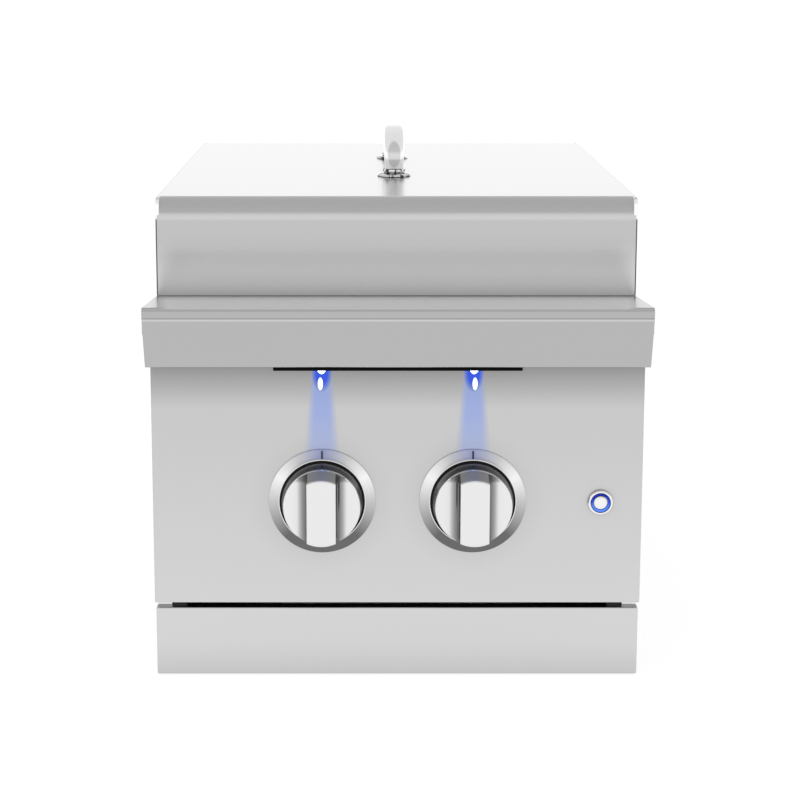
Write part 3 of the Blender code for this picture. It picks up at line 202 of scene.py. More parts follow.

# Bezels
BEZEL_W = 0.0086  # width of the dished ring
BEZEL_RIM = 0.0010  # width of the flat rim round its well
BEZEL_LIP = 0.0006  # at its outer edge
BEZEL_FLOOR = 0.0009  # thickness at the bottom of its well
STEM_HOLE = 0.0075
BEZEL_SOFT = 0.0003  # softened edges of its rim
BEZEL_CHAMFER = 0.0004  # at the mouth of its well
BEZEL_MARGIN = 0.0001  # how far out of its mouth the well's faces count
DISH_FOOT = 0.0008  # height of the dish at its outer edge
DISH_POWER = 0.8
DISH_STEPS = 8
BEZEL_EVEN = 0.55  # painted tone at the sides and beside the top
BEZEL_HIGHLIGHT = 0.90  # painted highlight of two flares across its turned grain
# painted shade at the bezel's foot
BEZEL_FOOT_SHADE = 0.15
BEZEL_LIT = (0.30, 0.33, 0.54)  # painted lamp light at the top, under the lamp
BEZEL_LIGHT_AND_SHADE = (  # painted highlights and shade by angle, alike on both sides
    (-180, BEZEL_EVEN),
    (-135, BEZEL_FOOT_SHADE),
    (-45, BEZEL_FOOT_SHADE),
    (0, BEZEL_EVEN),
    (30, BEZEL_HIGHLIGHT),
    (60, BEZEL_EVEN),
    (90, BEZEL_LIT),
    (120, BEZEL_EVEN),
    (150, BEZEL_HIGHLIGHT),
    (180, BEZEL_EVEN),
)
MARK_W = 0.0012
MARK_T = 0.00012
MARK_FROM = (0.0006, 0.0004)  # outside the rim, below its top
MARK_TO = (0.0012, 0.0014)  # inside the outer edge, above the panel

# Lamps
LENS_SHAPE = (  # share of its radius, share of its height
    (0.97, 0.12),
    (0.86, 0.28),
    (0.66, 0.55),
    (0.44, 0.80),
    (0.22, 0.95),
)
# Painted light on the panel under each lamp: a beam, a deep blue patch and the lamp's mirror image
BEAM_LENGTH = 0.068
BEAM_TOP = 0.0084  # half width of the beam under a lamp
BEAM_FOOT = 0.0145
BEAM_GLOW = 0.13
BEAM_FIRM = 2.2
BEAM_SOFT = 0.5
BEAM_FADE = 2.0  # how late the beam weakens, more is later
BEAM_LEFT = 0.6  # share of the beam that is left at its foot
BEAM_COVER = 0.75  # share of the steel's colour that it takes
BEAM_COLOUR = (0.05, 0.12, 1.0)
BEAM_TINT = (0.27, 0.36, 0.60)
HALO_AT = (0.0, 0.0020)  # aside and below a lamp's middle, the middle of the painted deep blue patch
HALO_SIZE = (0.0080, 0.0150)
HALO_FIRM = 1.4
HALO_GLOW = 0.52
HALO_TINT = (0.02, 0.05, 0.22)
CORE_AT = (0.0011, 0.0105)  # outward and below a lamp's middle, its painted mirror image in the panel
CORE_SIZE = (0.0021, 0.0054)
CORE_FIRM = 2.5
PANEL_SHADE = (  # share of the panel's tone by metres below the fascia
    (0.0, 0.50),
    (0.0160, 0.66),
    (0.0340, 0.88),
    (0.2000, 1.0),
)

# Push button
SWITCH_MOUTH = 0.0080
SWITCH_LIP = 0.0006
SWITCH_RIM = ((0.0008, 0.0003), (0.0002, 0.0009), (0.0, 0.0016))  # in from its edge, drop from its front
SWITCH_FLANGE = 0.0026
SWITCH_SEAT = 0.0017  # drop from its front to the ring's seat
SWITCH_NECK = 0.0078
SWITCH_WELL = 0.0055
SWITCH_BORE = 0.0030
SWITCH_FLOOR = 0.0035
BUTTON_SHAPE = ((0.0, 0.0001), (0.5, 0.00015), (0.8, 0.0004), (1.0, 0.001))  # share of its radius, drop
RING_EDGE = 0.15  # glow of the lit ring's edges to that of its middle
RING_BLUES = (  # from the foot of the button's ring to its top
    (0.0, (0.12, 0.30, 0.95)),
    (0.30, (0.08, 0.22, 0.95)),
    (0.55, (0.02, 0.07, 0.70)),
    (0.85, (0.004, 0.012, 0.36)),
    (1.0, (0.003, 0.008, 0.28)),
)

# Burners
PORTS = 32
PORT_W = 0.0022
PORT_DEPTH = 0.006
PORT_OVER = 0.002  # how far a port's form stands out of the ring's walls
BURNER_WALL = 0.010
BURNER_RIM = ((0.0016, 0.0), (0.0011, 0.0004))  # in from its edge, drop from its top
BURNER_WAIST = ((0.0006, 0.4), (0.0, 0.32))  # in from its edge, share of its height
CAP_SPIGOT = 0.0042
SPIGOT_OUTER = 0.0089  # in from the cap's edge
SPIGOT_BORE = 0.0124
CAP_RIM = 0.0006
CAP_CROWN = 0.72  # share of the cap's height that is domed
CAP_EDGE = 0.12
CAP_HOLLOW = (0.3, 0.5)  # of its height, at the spigot and in the middle

SIDES = ("left", "right")
ENDS = ("front", "rear")
X, Y, Z = range(3)
WHITE = (1, 1, 1)
BLACK = (0, 0, 0)
FRONT = Matrix.Rotation(pi / 2, 4, "X")  # turns +Z to the cook

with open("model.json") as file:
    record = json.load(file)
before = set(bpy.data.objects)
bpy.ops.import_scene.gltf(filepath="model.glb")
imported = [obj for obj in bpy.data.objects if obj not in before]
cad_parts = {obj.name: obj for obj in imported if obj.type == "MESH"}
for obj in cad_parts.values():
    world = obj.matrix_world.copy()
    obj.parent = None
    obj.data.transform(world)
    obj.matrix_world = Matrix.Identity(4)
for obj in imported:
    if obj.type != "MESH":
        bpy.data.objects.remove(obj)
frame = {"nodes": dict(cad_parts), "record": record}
cad_low, cad_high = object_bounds()
RECORD = frame["record"]
BODY_OF = {node: body for body, nodes in RECORD["behaviour"]["bodies"].items() for node in nodes}


# Node trees


class Tree:
    """Shorthand for wiring a node tree."""

    def __init__(self, owner):
        owner.use_nodes = True
        self.nodes = owner.node_tree.nodes
        self.links = owner.node_tree.links

    def add(self, kind, settings=None, **inputs):
        """Add a node; an input goes by its name or place, such as i0, and is a value or an output."""
        node = self.nodes.new("ShaderNode" + kind)
        for name, value in (settings or {}).items():
            setattr(node, name, value)
        for key, value in inputs.items():
            number = key.removeprefix("i")
            socket = node.inputs[int(number)] if number.isdigit() else node.inputs[key.replace("_", " ")]
            if isinstance(value, bpy.types.NodeSocket):
                self.links.new(value, socket)
            else:
                socket.default_value = value
        return node

    def math(self, operation, *values, clamp=False):
        """One sum; returns its output."""
        inputs = {"i" + str(i): value for i, value in enumerate(values)}
        return self.add("Math", {"operation": operation, "use_clamp": clamp}, **inputs).outputs[0]

    def ramp(self, value, stops):
        """A colour ramp; each stop is a place and a grey or a colour."""
        node = self.add("ValToRGB", i0=value)
        band = node.color_ramp
        while len(band.elements) < len(stops):
            band.elements.new(0.5)
        for element, (place, colour) in zip(band.elements, stops):
            element.position = place
            element.color = (*colour, 1) if isinstance(colour, tuple) else (colour, colour, colour, 1)
        return node.outputs[0]

    def noise(self, scale, stretch=(1, 1, 1), detail=4.0):
        """Fine noise in the object's own coordinates, stretched along its axes."""
        where = self.add("TexCoord").outputs["Object"]
        spread = self.add("Mapping", Vector=where, Scale=stretch).outputs[0]
        return self.add("TexNoise", Vector=spread, Scale=scale, Detail=detail).outputs[0]

    def mix(self, share, first, second, kind="MIX"):
        """Blend two colours, each an output or three numbers."""
        settings = {"data_type": "RGBA", "blend_type": kind}
        pair = [end if isinstance(end, bpy.types.NodeSocket) else (*end, 1) for end in (first, second)]
        return self.add("Mix", settings, i0=share, i6=pair[0], i7=pair[1]).outputs[2]

    def rise(self, value, start, end):
        """0 up to a start, 1 past an end, and an even rise between them."""
        return self.math("DIVIDE", self.math("SUBTRACT", value, start), end - start, clamp=True)

    def toned(self, mask, tone):
        """1 where a mask is 0, and a tone where it is 1."""
        return self.math("MULTIPLY_ADD", mask, tone - 1, 1.0)

    def squares(self, first, second):
        """The sum of two squares."""
        return self.math("ADD", self.math("MULTIPLY", first, first), self.math("MULTIPLY", second, second))


def opened(material):
    """A material's tree and its Principled shader."""
    tree = Tree(material)
    return tree, tree.nodes["Principled BSDF"]


def shader(name, colour, roughness, metallic=0.0):
    """A material with a Principled shader, and the tree that feeds it."""
    material = bpy.data.materials.new(name)
    tree, base = opened(material)
    base.inputs["Base Color"].default_value = (*colour, 1)
    base.inputs["Roughness"].default_value = roughness
    base.inputs["Metallic"].default_value = metallic
    return material, tree, base


def varied(tree, base, source, low, high):
    """Let a noise move the roughness between two values."""
    start, end = NOISE_RANGE
    spread = tree.add("MapRange", i0=source, i1=start, i2=end, i3=low, i4=high).outputs[0]
    tree.links.new(spread, base.inputs["Roughness"])


def bumped(tree, base, source, strength, distance):
    """Let a noise raise the surface a little."""
    bump = tree.add("Bump", Strength=strength, Distance=distance, Height=source)
    tree.links.new(bump.outputs[0], base.inputs["Normal"])


def shaded(tree, base, colour, reach, depth, power=1.3):
    """Paint shade into a colour, darker in corners and under overhangs closer than a reach."""
    open_sky = tree.add("AmbientOcclusion", {"samples": 12}, Distance=reach).outputs["AO"]
    shade = tree.math("MULTIPLY_ADD", tree.math("POWER", open_sky, power), depth, 1 - depth)
    tree.links.new(tree.mix(shade, BLACK, colour), base.inputs["Base Color"])


def dimmed(tree, base, share):
    """Dim the base colour by a share from another node."""
    colour = base.inputs["Base Color"].links[0].from_socket
    tree.links.new(tree.mix(1.0, colour, share, "MULTIPLY"), base.inputs["Base Color"])


def place_of(tree):
    """The outputs x, y and z of a point, in the model's frame."""
    return tree.add("SeparateXYZ", Vector=tree.add("TexCoord").outputs["Object"]).outputs


def spot(tree, aside, drop, centre, size, firm):
    """A soft oval patch, 1 in the middle, at a distance aside and a drop."""
    over = tree.math("DIVIDE", tree.math("SUBTRACT", aside, centre[0]), size[0])
    down = tree.math("DIVIDE", tree.math("SUBTRACT", drop, centre[1]), size[1])
    inside = tree.math("SUBTRACT", 1.0, tree.squares(over, down), clamp=True)
    return tree.math("MULTIPLY", inside, firm, clamp=True)


def brushed_steel(name, colour, roughness, grain, reach=0.045, depth=0.85):
    """Satin steel with fine lines along one axis, faint cloudy wear and shade painted into its corners."""
    material, tree, base = shader(name, colour, roughness, 1.0)
    lines = tree.noise(1.0, grain)
    cloud = tree.noise(9.0)
    both = tree.math("ADD", tree.math("MULTIPLY", lines, 0.5), tree.math("MULTIPLY", cloud, 0.5))
    varied(tree, base, both, roughness - 0.01, roughness + 0.02)
    bumped(tree, base, lines, *GRAIN_BUMP)
    shaded(tree, base, colour, reach, depth)
    return material


def polished_steel(name, colour, roughness, reach=0.012, depth=0.7, power=1.3):
    """Bright metal with the faint ripple that polishing leaves, and shade painted into its corners."""
    material, tree, base = shader(name, colour, roughness, 1.0)
    varied(tree, base, tree.noise(60.0), roughness * 0.7, roughness * 1.4)
    shaded(tree, base, colour, reach, depth, power)
    return material


def graded(tree, axis, stops):
    """A ramp of tones between places in metres along an axis."""
    start = stops[0][0]
    end = stops[-1][0]
    along = tree.rise(place_of(tree)[axis], start, end)
    return tree.ramp(along, [((at - start) / (end - start), tone) for at, tone in stops])


def graded_steel(name, axis, tones, reach, depth, satin=None):
    """Brushed steel whose tone, and roughness if given, changes along an axis; the tones paint light and
    shade onto it.
    """
    material = brushed_steel(name, WHITE, 0.28, GRAIN_X, reach, depth)
    tree, base = opened(material)
    dimmed(tree, base, graded(tree, axis, tones))
    if satin:
        tree.links.new(graded(tree, axis, satin), base.inputs["Roughness"])
    return material


def turned_steel(name, centre):
    """Metal turned on a lathe, with painted highlights and shade in soft bands round its centre."""
    material = polished_steel(name, WHITE, 0.20, reach=0.006, depth=0.5)
    tree, base = opened(material)
    place = place_of(tree)
    across = tree.math("SUBTRACT", place[X], centre.x)
    up = tree.math("SUBTRACT", place[Z], centre.z)
    turn = tree.math("MULTIPLY_ADD", tree.math("ARCTAN2", up, across), 0.5 / pi, 0.5)
    dimmed(tree, base, tree.ramp(turn, [(angle / 360 + 0.5, tone) for angle, tone in BEZEL_LIGHT_AND_SHADE]))
    return material


def knob_metal(name, knob):
    """Bright metal with painted shade in the coves and a painted dark reflection on the slope above the
    grip, the same left and right.
    """
    material = polished_steel(name, (0.80, 0.80, 0.80), KNOB_ROUGH, reach=0.0085, depth=0.6, power=2.0)
    tree, base = opened(material)
    place = place_of(tree)
    start, whole = (knob.low.y + back for back in KNOB_BARE)
    behind = tree.rise(place[Y], start, whole)
    foot = knob.middle.z + SLOPE_FROM
    slope = tree.math("MULTIPLY", behind, tree.rise(place[Z], foot, foot + SLOPE_SOFT))
    dimmed(tree, base, tree.toned(slope, SLOPE_REFLECTION_DIM))
    from_knob = tree.math("SUBTRACT", tree.math("ABSOLUTE", place[X]), abs(knob.middle.x))
    aside = tree.math("ABSOLUTE", from_knob)
    out = tree.rise(aside, GRIP_W / 2, GRIP_W / 2 + GRIP_COVE)
    on_grip = tree.math("LESS_THAN", aside, GRIP_W / 2 - GRIP_BARE)
    bare = tree.math("MAXIMUM", tree.math("SUBTRACT", 1.0, behind), on_grip)
    dimmed(tree, base, tree.math("MAXIMUM", tree.ramp(out, COVE_SHADE_TONES), bare))
    roughness = tree.math("MULTIPLY_ADD", slope, SLOPE_ROUGH - KNOB_ROUGH, KNOB_ROUGH)
    tree.links.new(roughness, base.inputs["Roughness"])
    return material


def handle_metal(name, bar):
    """Bright metal with a painted grey reflection in an oval on the front bend."""
    material = polished_steel(name, (0.98, 0.98, 0.98), 0.12)
    tree, base = opened(material)
    place = place_of(tree)
    across = tree.math("SUBTRACT", place[X], bar.middle.x)
    down = tree.math("SUBTRACT", bar.high.z, place[Z])
    oval = spot(tree, across, down, (0, OVAL_AT * bar.size.z), OVAL_SIZE, OVAL_FIRM)
    front = tree.math("LESS_THAN", place[Y], bar.middle.y)
    dimmed(tree, base, tree.toned(tree.math("MULTIPLY", oval, front), OVAL_REFLECTION_TONE))
    return material


def collar_metal(name):
    """Bright metal broken by small painted dark reflections."""
    material = polished_steel(name, (0.95, 0.95, 0.95), 0.07)
    tree, base = opened(material)
    dimmed(tree, base, tree.ramp(tree.noise(280.0, (1, 1, 0.3), 2.0), COLLAR_REFLECTION_TONES))
    return material


def deck_metal(name, lid_half):
    """The deck's steel with painted shade along it, and more painted shade on its ledge beyond half the
    lid's width from the middle.
    """
    material = graded_steel(name, Y, DECK_SHADE_TONES, reach=0.022, depth=0.45)
    tree, base = opened(material)
    place = place_of(tree)
    rear, front = LEDGE_REAR
    edge = tree.math("MULTIPLY_ADD", tree.math("SUBTRACT", place[Y], front), DECK_END_SLANT, lid_half)
    out = tree.math("SUBTRACT", tree.math("ABSOLUTE", place[X]), edge)
    past = tree.rise(out, -DECK_END_SOFT, 0)
    on_ledge = tree.math("MULTIPLY", tree.rise(place[Y], rear, front), tree.rise(place[Y], *LEDGE_NOSE))
    dimmed(tree, base, tree.toned(tree.math("MULTIPLY", past, on_ledge), DECK_END_SHADE))
    return material


def skirt_metal(name, front):
    """The knob's side, with a painted dark reflection towards its front edge."""
    material = polished_steel(name, (0.86, 0.86, 0.86), 0.32, reach=0.0085, depth=0.9, power=1.5)
    tree, base = opened(material)
    start = front + GRIP_FACE
    back = tree.rise(place_of(tree)[Y], start, start + SKIRT_REFLECTION_BAND)
    dimmed(tree, base, tree.ramp(back, SKIRT_REFLECTION_TONES))
    return material


def cast_metal(name, colour, roughness, grain):
    """Sand-cast metal with a pebbled skin."""
    material, tree, base = shader(name, colour, roughness, 1.0)
    skin = tree.noise(grain, detail=6.0)
    varied(tree, base, skin, roughness - 0.12, roughness + 0.10)
    bumped(tree, base, skin, 0.35, 0.0003)
    return material


def turned_brass():
    """Machined brass, darker where heat has tinted it."""
    material, tree, base = shader("brass", (0.66, 0.47, 0.19), 0.28, 1.0)
    stain = tree.noise(45.0)
    tint = tree.ramp(stain, ((0.35, (0.72, 0.53, 0.22)), (0.7, (0.50, 0.33, 0.13))))
    tree.links.new(tint, base.inputs["Base Color"])
    varied(tree, base, stain, 0.20, 0.38)
    return material


def black_enamel():
    """Gloss black enamel with pale flecks and a slight orange peel."""
    material, tree, base = shader("black_enamel", (0.012, 0.012, 0.013), 0.16)
    where = tree.add("TexCoord").outputs["Object"]
    spots = tree.add("TexVoronoi", Vector=where, Scale=420.0).outputs["Distance"]
    flecks = tree.ramp(spots, ((0.05, (0.30, 0.31, 0.33)), (0.12, (0.012, 0.012, 0.013))))
    tree.links.new(flecks, base.inputs["Base Color"])
    bumped(tree, base, tree.noise(300.0), 0.12, 0.0002)
    base.inputs["Coat Weight"].default_value = 0.5
    return material


def black_plastic():
    """Matt black moulding with a fine spark-eroded grain."""
    material, tree, base = shader("black_plastic", (0.004, 0.004, 0.004), 0.45)
    base.inputs["Specular IOR Level"].default_value = 0.03
    grain = tree.noise(1400.0)
    varied(tree, base, grain, 0.38, 0.52)
    bumped(tree, base, grain, 0.2, 0.0001)
    return material


def white_ceramic():
    """Glazed ceramic with a warm body."""
    material, tree, base = shader("white_ceramic", (0.86, 0.84, 0.79), 0.2)
    varied(tree, base, tree.noise(120.0), 0.14, 0.3)
    base.inputs["Coat Weight"].default_value = 0.6
    return material


def glowing(name, colour, strength):
    """A lit lens with a faint cloud in its glow."""
    material, tree, base = shader(name, colour, 0.15)
    base.inputs["Emission Color"].default_value = (*colour, 1)
    cloud = tree.math("MULTIPLY_ADD", tree.noise(90.0), 0.2 * strength, 0.9 * strength)
    tree.links.new(cloud, base.inputs["Emission Strength"])
    return material


def lit_ring(name, place, inner, outer):
    """A lit lens ring, deep blue at its top and its edges and paler at its foot."""
    material, tree, base = shader(name, (0.01, 0.02, 0.10), 0.2)
    base.inputs["Specular IOR Level"].default_value = 0.08
    point = place_of(tree)
    across = tree.math("SUBTRACT", point[X], place.x)
    up = tree.math("SUBTRACT", point[Z], place.z)
    height = tree.math("MULTIPLY_ADD", up, 0.5 / outer, 0.5)
    half = (outer - inner) / 2
    out = tree.math("SQRT", tree.squares(across, up))
    aside = tree.math("DIVIDE", tree.math("SUBTRACT", out, inner + half), half)
    edge = tree.toned(tree.math("MULTIPLY", aside, aside), RING_EDGE)
    tree.links.new(tree.ramp(height, RING_BLUES), base.inputs["Emission Color"])
    tree.links.new(edge, base.inputs["Emission Strength"])
    return material


def beam_share(tree, offset, drop):
    """How strong a lamp's painted beam is, by the offset from its middle line and the drop from the lamp.
    """
    fall = tree.rise(drop, 0, BEAM_LENGTH)
    width = tree.math("MULTIPLY_ADD", fall, BEAM_FOOT - BEAM_TOP, BEAM_TOP)
    across = tree.math("SUBTRACT", 1.0, tree.math("DIVIDE", offset, width), clamp=True)
    soft = tree.math("SMOOTH_MIN", tree.math("MULTIPLY", across, BEAM_FIRM), 1.0, BEAM_SOFT)
    fade = tree.math("MULTIPLY", tree.math("SUBTRACT", 1.0, fall), BEAM_FADE, clamp=True)
    beam = tree.math("MULTIPLY", soft, tree.math("MULTIPLY_ADD", fade, 1 - BEAM_LEFT, BEAM_LEFT))
    return tree.math("MULTIPLY", beam, tree.math("LESS_THAN", drop, BEAM_LENGTH))


def lit_panel(name, lamps, edge):
    """Brushed steel with painted shade under the fascia and the lamps' light painted down it."""
    material = brushed_steel(name, (0.66, 0.66, 0.66), 0.30, GRAIN_X, reach=0.03, depth=0.3)
    tree, base = opened(material)
    place = place_of(tree)
    shade = [(edge - below, tone) for below, tone in reversed(PANEL_SHADE)]
    dimmed(tree, base, graded(tree, Z, shade))
    middle = (lamps[0].x + lamps[1].x) / 2
    apart = abs(lamps[0].x - lamps[1].x) / 2
    from_middle = tree.math("ABSOLUTE", tree.math("SUBTRACT", place[X], middle))
    outward = tree.math("SUBTRACT", from_middle, apart)
    offset = tree.math("ABSOLUTE", outward)
    drop = tree.math("SUBTRACT", lamps[0].z, place[Z])
    beam = beam_share(tree, offset, drop)
    halo = spot(tree, offset, drop, HALO_AT, HALO_SIZE, HALO_FIRM)
    core = spot(tree, outward, drop, CORE_AT, CORE_SIZE, CORE_FIRM)
    colour = base.inputs["Base Color"].links[0].from_socket
    cover = tree.math("MULTIPLY", beam, BEAM_COVER)
    for share, tint in ((cover, BEAM_TINT), (halo, HALO_TINT), (core, WHITE)):
        colour = tree.mix(share, colour, tint)
    tree.links.new(colour, base.inputs["Base Color"])
    tree.links.new(tree.mix(core, BEAM_COLOUR, WHITE), base.inputs["Emission Color"])
    beam_glow = tree.math("MULTIPLY", beam, BEAM_GLOW)
    halo_glow = tree.math("MULTIPLY", halo, HALO_GLOW)
    glow = tree.math("MAXIMUM", tree.math("MAXIMUM", beam_glow, halo_glow), core)
    tree.links.new(glow, base.inputs["Emission Strength"])
    return material


# Shapes


def show(name, mesh, node, material, edge=0.0, body=None):
    """Put a mesh in the scene on its body, standing for a node if one is named."""
    obj = bpy.data.objects.new(name, mesh)
    bpy.context.collection.objects.link(obj)
    mesh.materials.clear()
    mesh.materials.append(material)
    mesh.shade_smooth()
    mesh.set_sharp_from_angle(angle=EDGE_SHARP)
    if edge:
        bevel = obj.modifiers.new("edge", "BEVEL")
        bevel.width = edge
        bevel.segments = 2
        bevel.limit_method = "ANGLE"
        bevel.angle_limit = EDGE_SHARP
        bevel.harden_normals = True
        bevel.use_clamp_overlap = True
    even = obj.modifiers.new("flat faces", "WEIGHTED_NORMAL")
    even.keep_sharp = True
    if node:
        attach(obj, BODY_OF[node])
        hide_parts(node)
    else:
        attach(obj, body)
    return obj


def mesh_of(bm, name, closed=True):
    """Turn a bmesh into a mesh; the faces of a closed form are made to point out."""
    if closed:
        bmesh.ops.recalc_face_normals(bm, faces=bm.faces)
    mesh = bpy.data.meshes.new(name)
    bm.to_mesh(mesh)
    bm.free()
    return mesh


def stand_in(bm, node, material, edge=0.0, closed=True):
    """Show a form in a node's place."""
    return show(node + "_look", mesh_of(bm, node + "_look", closed), node, material, edge)


def cleaned(bm):
    """Join points that coincide and faces that lie in one plane."""
    bmesh.ops.remove_doubles(bm, verts=bm.verts, dist=WELD)
    bmesh.ops.dissolve_limit(bm, angle_limit=FLAT, verts=bm.verts, edges=bm.edges)
    return bm


def softened(node, material, edge=EDGE):
    """A node's own shape with its corners softened."""
    bm = bmesh.new()
    bm.from_mesh(frame["nodes"][node].data)
    return stand_in(cleaned(bm), node, material, edge)


def lathe(profile, steps=96):
    """A turned form about Z from (radius, height) points; a ring if it never meets the axis."""
    bm = bmesh.new()
    closed = min(radius for radius, height in profile) > 0
    rings = []
    for radius, height in profile:
        if radius == 0:
            rings.append([bm.verts.new((0, 0, height))])
            continue
        turns = [2 * pi * i / steps for i in range(steps)]
        rings.append([bm.verts.new((radius * cos(a), radius * sin(a), height)) for a in turns])
    pairs = list(zip(rings, rings[1:]))
    if closed:
        pairs.append((rings[-1], rings[0]))
    for upper, lower in pairs:
        for i in range(steps):
            j = (i + 1) % steps
            corners = [ring[k % len(ring)] for ring, k in ((upper, i), (upper, j), (lower, j), (lower, i))]
            bm.faces.new(list(dict.fromkeys(corners)))
    return bm


def arc(centre, radius, start, end, steps):
    """Points on an arc, angles in degrees."""
    angles = [radians(start + (end - start) * i / steps) for i in range(steps + 1)]
    return [(centre[0] + radius * cos(a), centre[1] + radius * sin(a)) for a in angles]


def prism(outline, axis, low, high):
    """A bar between two planes across X or Y; the outline is in the other two axes."""
    bm = bmesh.new()
    points = [(low, a, b) if axis == X else (a, low, b) for a, b in outline]
    shift = (high - low, 0, 0) if axis == X else (0, high - low, 0)
    end = bm.faces.new([bm.verts.new(point) for point in points])
    swept = bmesh.ops.extrude_face_region(bm, geom=[end])["geom"]
    moved = [item for item in swept if isinstance(item, bmesh.types.BMVert)]
    bmesh.ops.translate(bm, verts=moved, vec=shift)
    bmesh.ops.recalc_face_normals(bm, faces=bm.faces)
    return bm


def cut(bm, tools, name):
    """Cut closed tool forms from a closed form; its flat faces are left whole."""
    body = bpy.data.objects.new(name, mesh_of(bm, name))
    bpy.context.collection.objects.link(body)
    blades = []
    for tool in tools:
        blade = bpy.data.objects.new(name + "_tool", mesh_of(tool, name + "_tool"))
        bpy.context.collection.objects.link(blade)
        step = body.modifiers.new("cut", "BOOLEAN")
        step.object = blade
        step.solver = "EXACT"
        blades.append(blade)
    graph = bpy.context.evaluated_depsgraph_get()
    mesh = bpy.data.meshes.new_from_object(body.evaluated_get(graph))
    for extra in [body, *blades]:
        bpy.data.objects.remove(extra, do_unlink=True)
    done = bmesh.new()
    done.from_mesh(mesh)
    return cleaned(done)


def seat(bm, at, turn=None):
    """Move a form built about Z to its place, turned if need be."""
    matrix = Matrix.Translation(at)
    if turn:
        matrix = matrix @ turn
    bmesh.ops.transform(bm, matrix=matrix, verts=bm.verts)
    return bm


class Box:
    """A node's box: its corners, middle and size, and the radius of a turned piece."""

    def __init__(self, node):
        low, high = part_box(node)
        self.low = Vector(low)
        self.high = Vector(high)
        self.middle = (self.low + self.high) / 2
        self.size = self.high - self.low
        self.radius = self.size.x / 2


# Materials

TRAY_STEEL = graded_steel("tray_steel", Y, TRAY_SHADE_TONES, reach=0.03, depth=0.25)
DECK_STEEL = deck_metal("deck_steel", abs(Box("left_lid_end").low.x))
fascia = Box("front_fascia")
# the fascia's tone, with its painted highlight along the upper edge
highlight_foot, highlight_top = (fascia.high.z - below for below in FASCIA_LINE)
fascia_tones = (
    (fascia.low.z, FASCIA_TONE),
    (highlight_foot, FASCIA_TONE),
    (highlight_top, FASCIA_HIGHLIGHT_TONE),
    (fascia.high.z, FASCIA_HIGHLIGHT_TONE),
)
FASCIA_STEEL = graded_steel("fascia_steel", Z, fascia_tones, reach=0.03, depth=0.35)
LID_STEEL = graded_steel("lid_steel", Z, LID_LIGHT_AND_SHADE, reach=0.01, depth=0.05, satin=LID_SATIN)
LID_EDGES = graded_steel("lid_edge_steel", Z, END_LIGHT_AND_SHADE, reach=0.01, depth=0.05)
LID_ENDS = brushed_steel("lid_end_steel", (LID_PLAIN,) * 3, 0.26, GRAIN_Y, reach=0.01, depth=0.2)
LID_REAR = brushed_steel("lid_rear_steel", (LID_PLAIN,) * 3, 0.26, GRAIN_X, reach=0.01, depth=0.2)
SHEET_STEEL = brushed_steel("sheet_steel", (0.525, 0.525, 0.525), 0.36, GRAIN_Y)
POLISHED = polished_steel("polished_steel", (0.88, 0.88, 0.88), 0.07)
HANDLE_METAL = handle_metal("handle_metal", Box("lid_handle"))
COLLAR_METAL = collar_metal("collar_metal")
KNOB_METAL = knob_metal("knob_metal", Box("left_knob"))
SKIRT_METAL = skirt_metal("skirt_metal", Box("left_knob").low.y)
SHADOW_BLACK = shader("shadow_black", (0.006, 0.006, 0.006), 0.6)[0]
CAST = cast_metal("cast_aluminium", (0.55, 0.55, 0.54), 0.50, grain=500.0)
BRASS = turned_brass()
ENAMEL = black_enamel()
PLASTIC = black_plastic()
CERAMIC = white_ceramic()
LENS = glowing("lamp_lens", (0.85, 0.90, 1.0), strength=3.0)
MARKING = shader("marking", (0.003, 0.003, 0.003), 0.6)[0]
lamp_places = [Box(side + "_lamp").middle for side in SIDES]
PANEL_STEEL = lit_panel("panel_steel", lamp_places, fascia.low.z)


# Pieces


def lid_shell():
    """The lid's sheet, open at its ends and its foot, with finely rolled edges and hems."""
    lid = Box("lid_shell")
    low = lid.low
    high = lid.high
    front = arc((low.y + LID_ROLL, high.z - LID_ROLL), LID_ROLL, 180, 90, LID_ROLL_STEPS)
    rear = arc((high.y - LID_ROLL, high.z - LID_ROLL), LID_ROLL, 90, 0, LID_ROLL_STEPS)
    hem = [(high.y, low.z), (high.y - LID_HEM, low.z), (low.y + LID_HEM, low.z), (low.y, low.z)]
    left = Box("left_lid_end").low.x + END_SHOW
    bm = prism([*front, *rear, *hem], X, left, -left)
    away = [face for face in bm.faces if abs(face.normal.x) > 0.9]
    floor = [face for face in bm.faces if face.normal.z < -0.9]
    away.append(max(floor, key=lambda face: face.calc_area()))
    bmesh.ops.delete(bm, geom=away, context="FACES")
    shell = stand_in(bm, "lid_shell", LID_STEEL, closed=False)
    thicken = shell.modifiers.new("sheet", "SOLIDIFY")
    thicken.thickness = LID_SHEET
    thicken.offset = -1
    thicken.use_even_offset = True
    shell.modifiers.move(1, 0)  # the sheet is thick before its shading is evened
    shell.data.materials.append(LID_REAR)
    for face in shell.data.polygons:
        if face.center.y > lid.middle.y and face.normal.y > 0.02:
            face.material_index = 1


def lid_end(side):
    """An end plate of the lid, its edges just behind the sheet."""
    plate = softened(side + "_lid_end", LID_ENDS, EDGE_WIDE)
    middle = Box(side + "_lid_end").middle
    # the plate's edges take the painted dark line and highlight
    plate.data.materials.append(LID_EDGES)
    for face in plate.data.polygons:
        if face.normal.x * middle.x < 0.5 * abs(middle.x):
            face.material_index = 1
    for corner in plate.data.vertices:
        corner.co.y += copysign(END_INSET, middle.y - corner.co.y)
        if corner.co.z > middle.z:
            corner.co.z -= END_INSET


def squared(value, power):
    """A sine or cosine bent so that the curve it draws is squarer than an ellipse."""
    return copysign(abs(value) ** (2 / power), value)


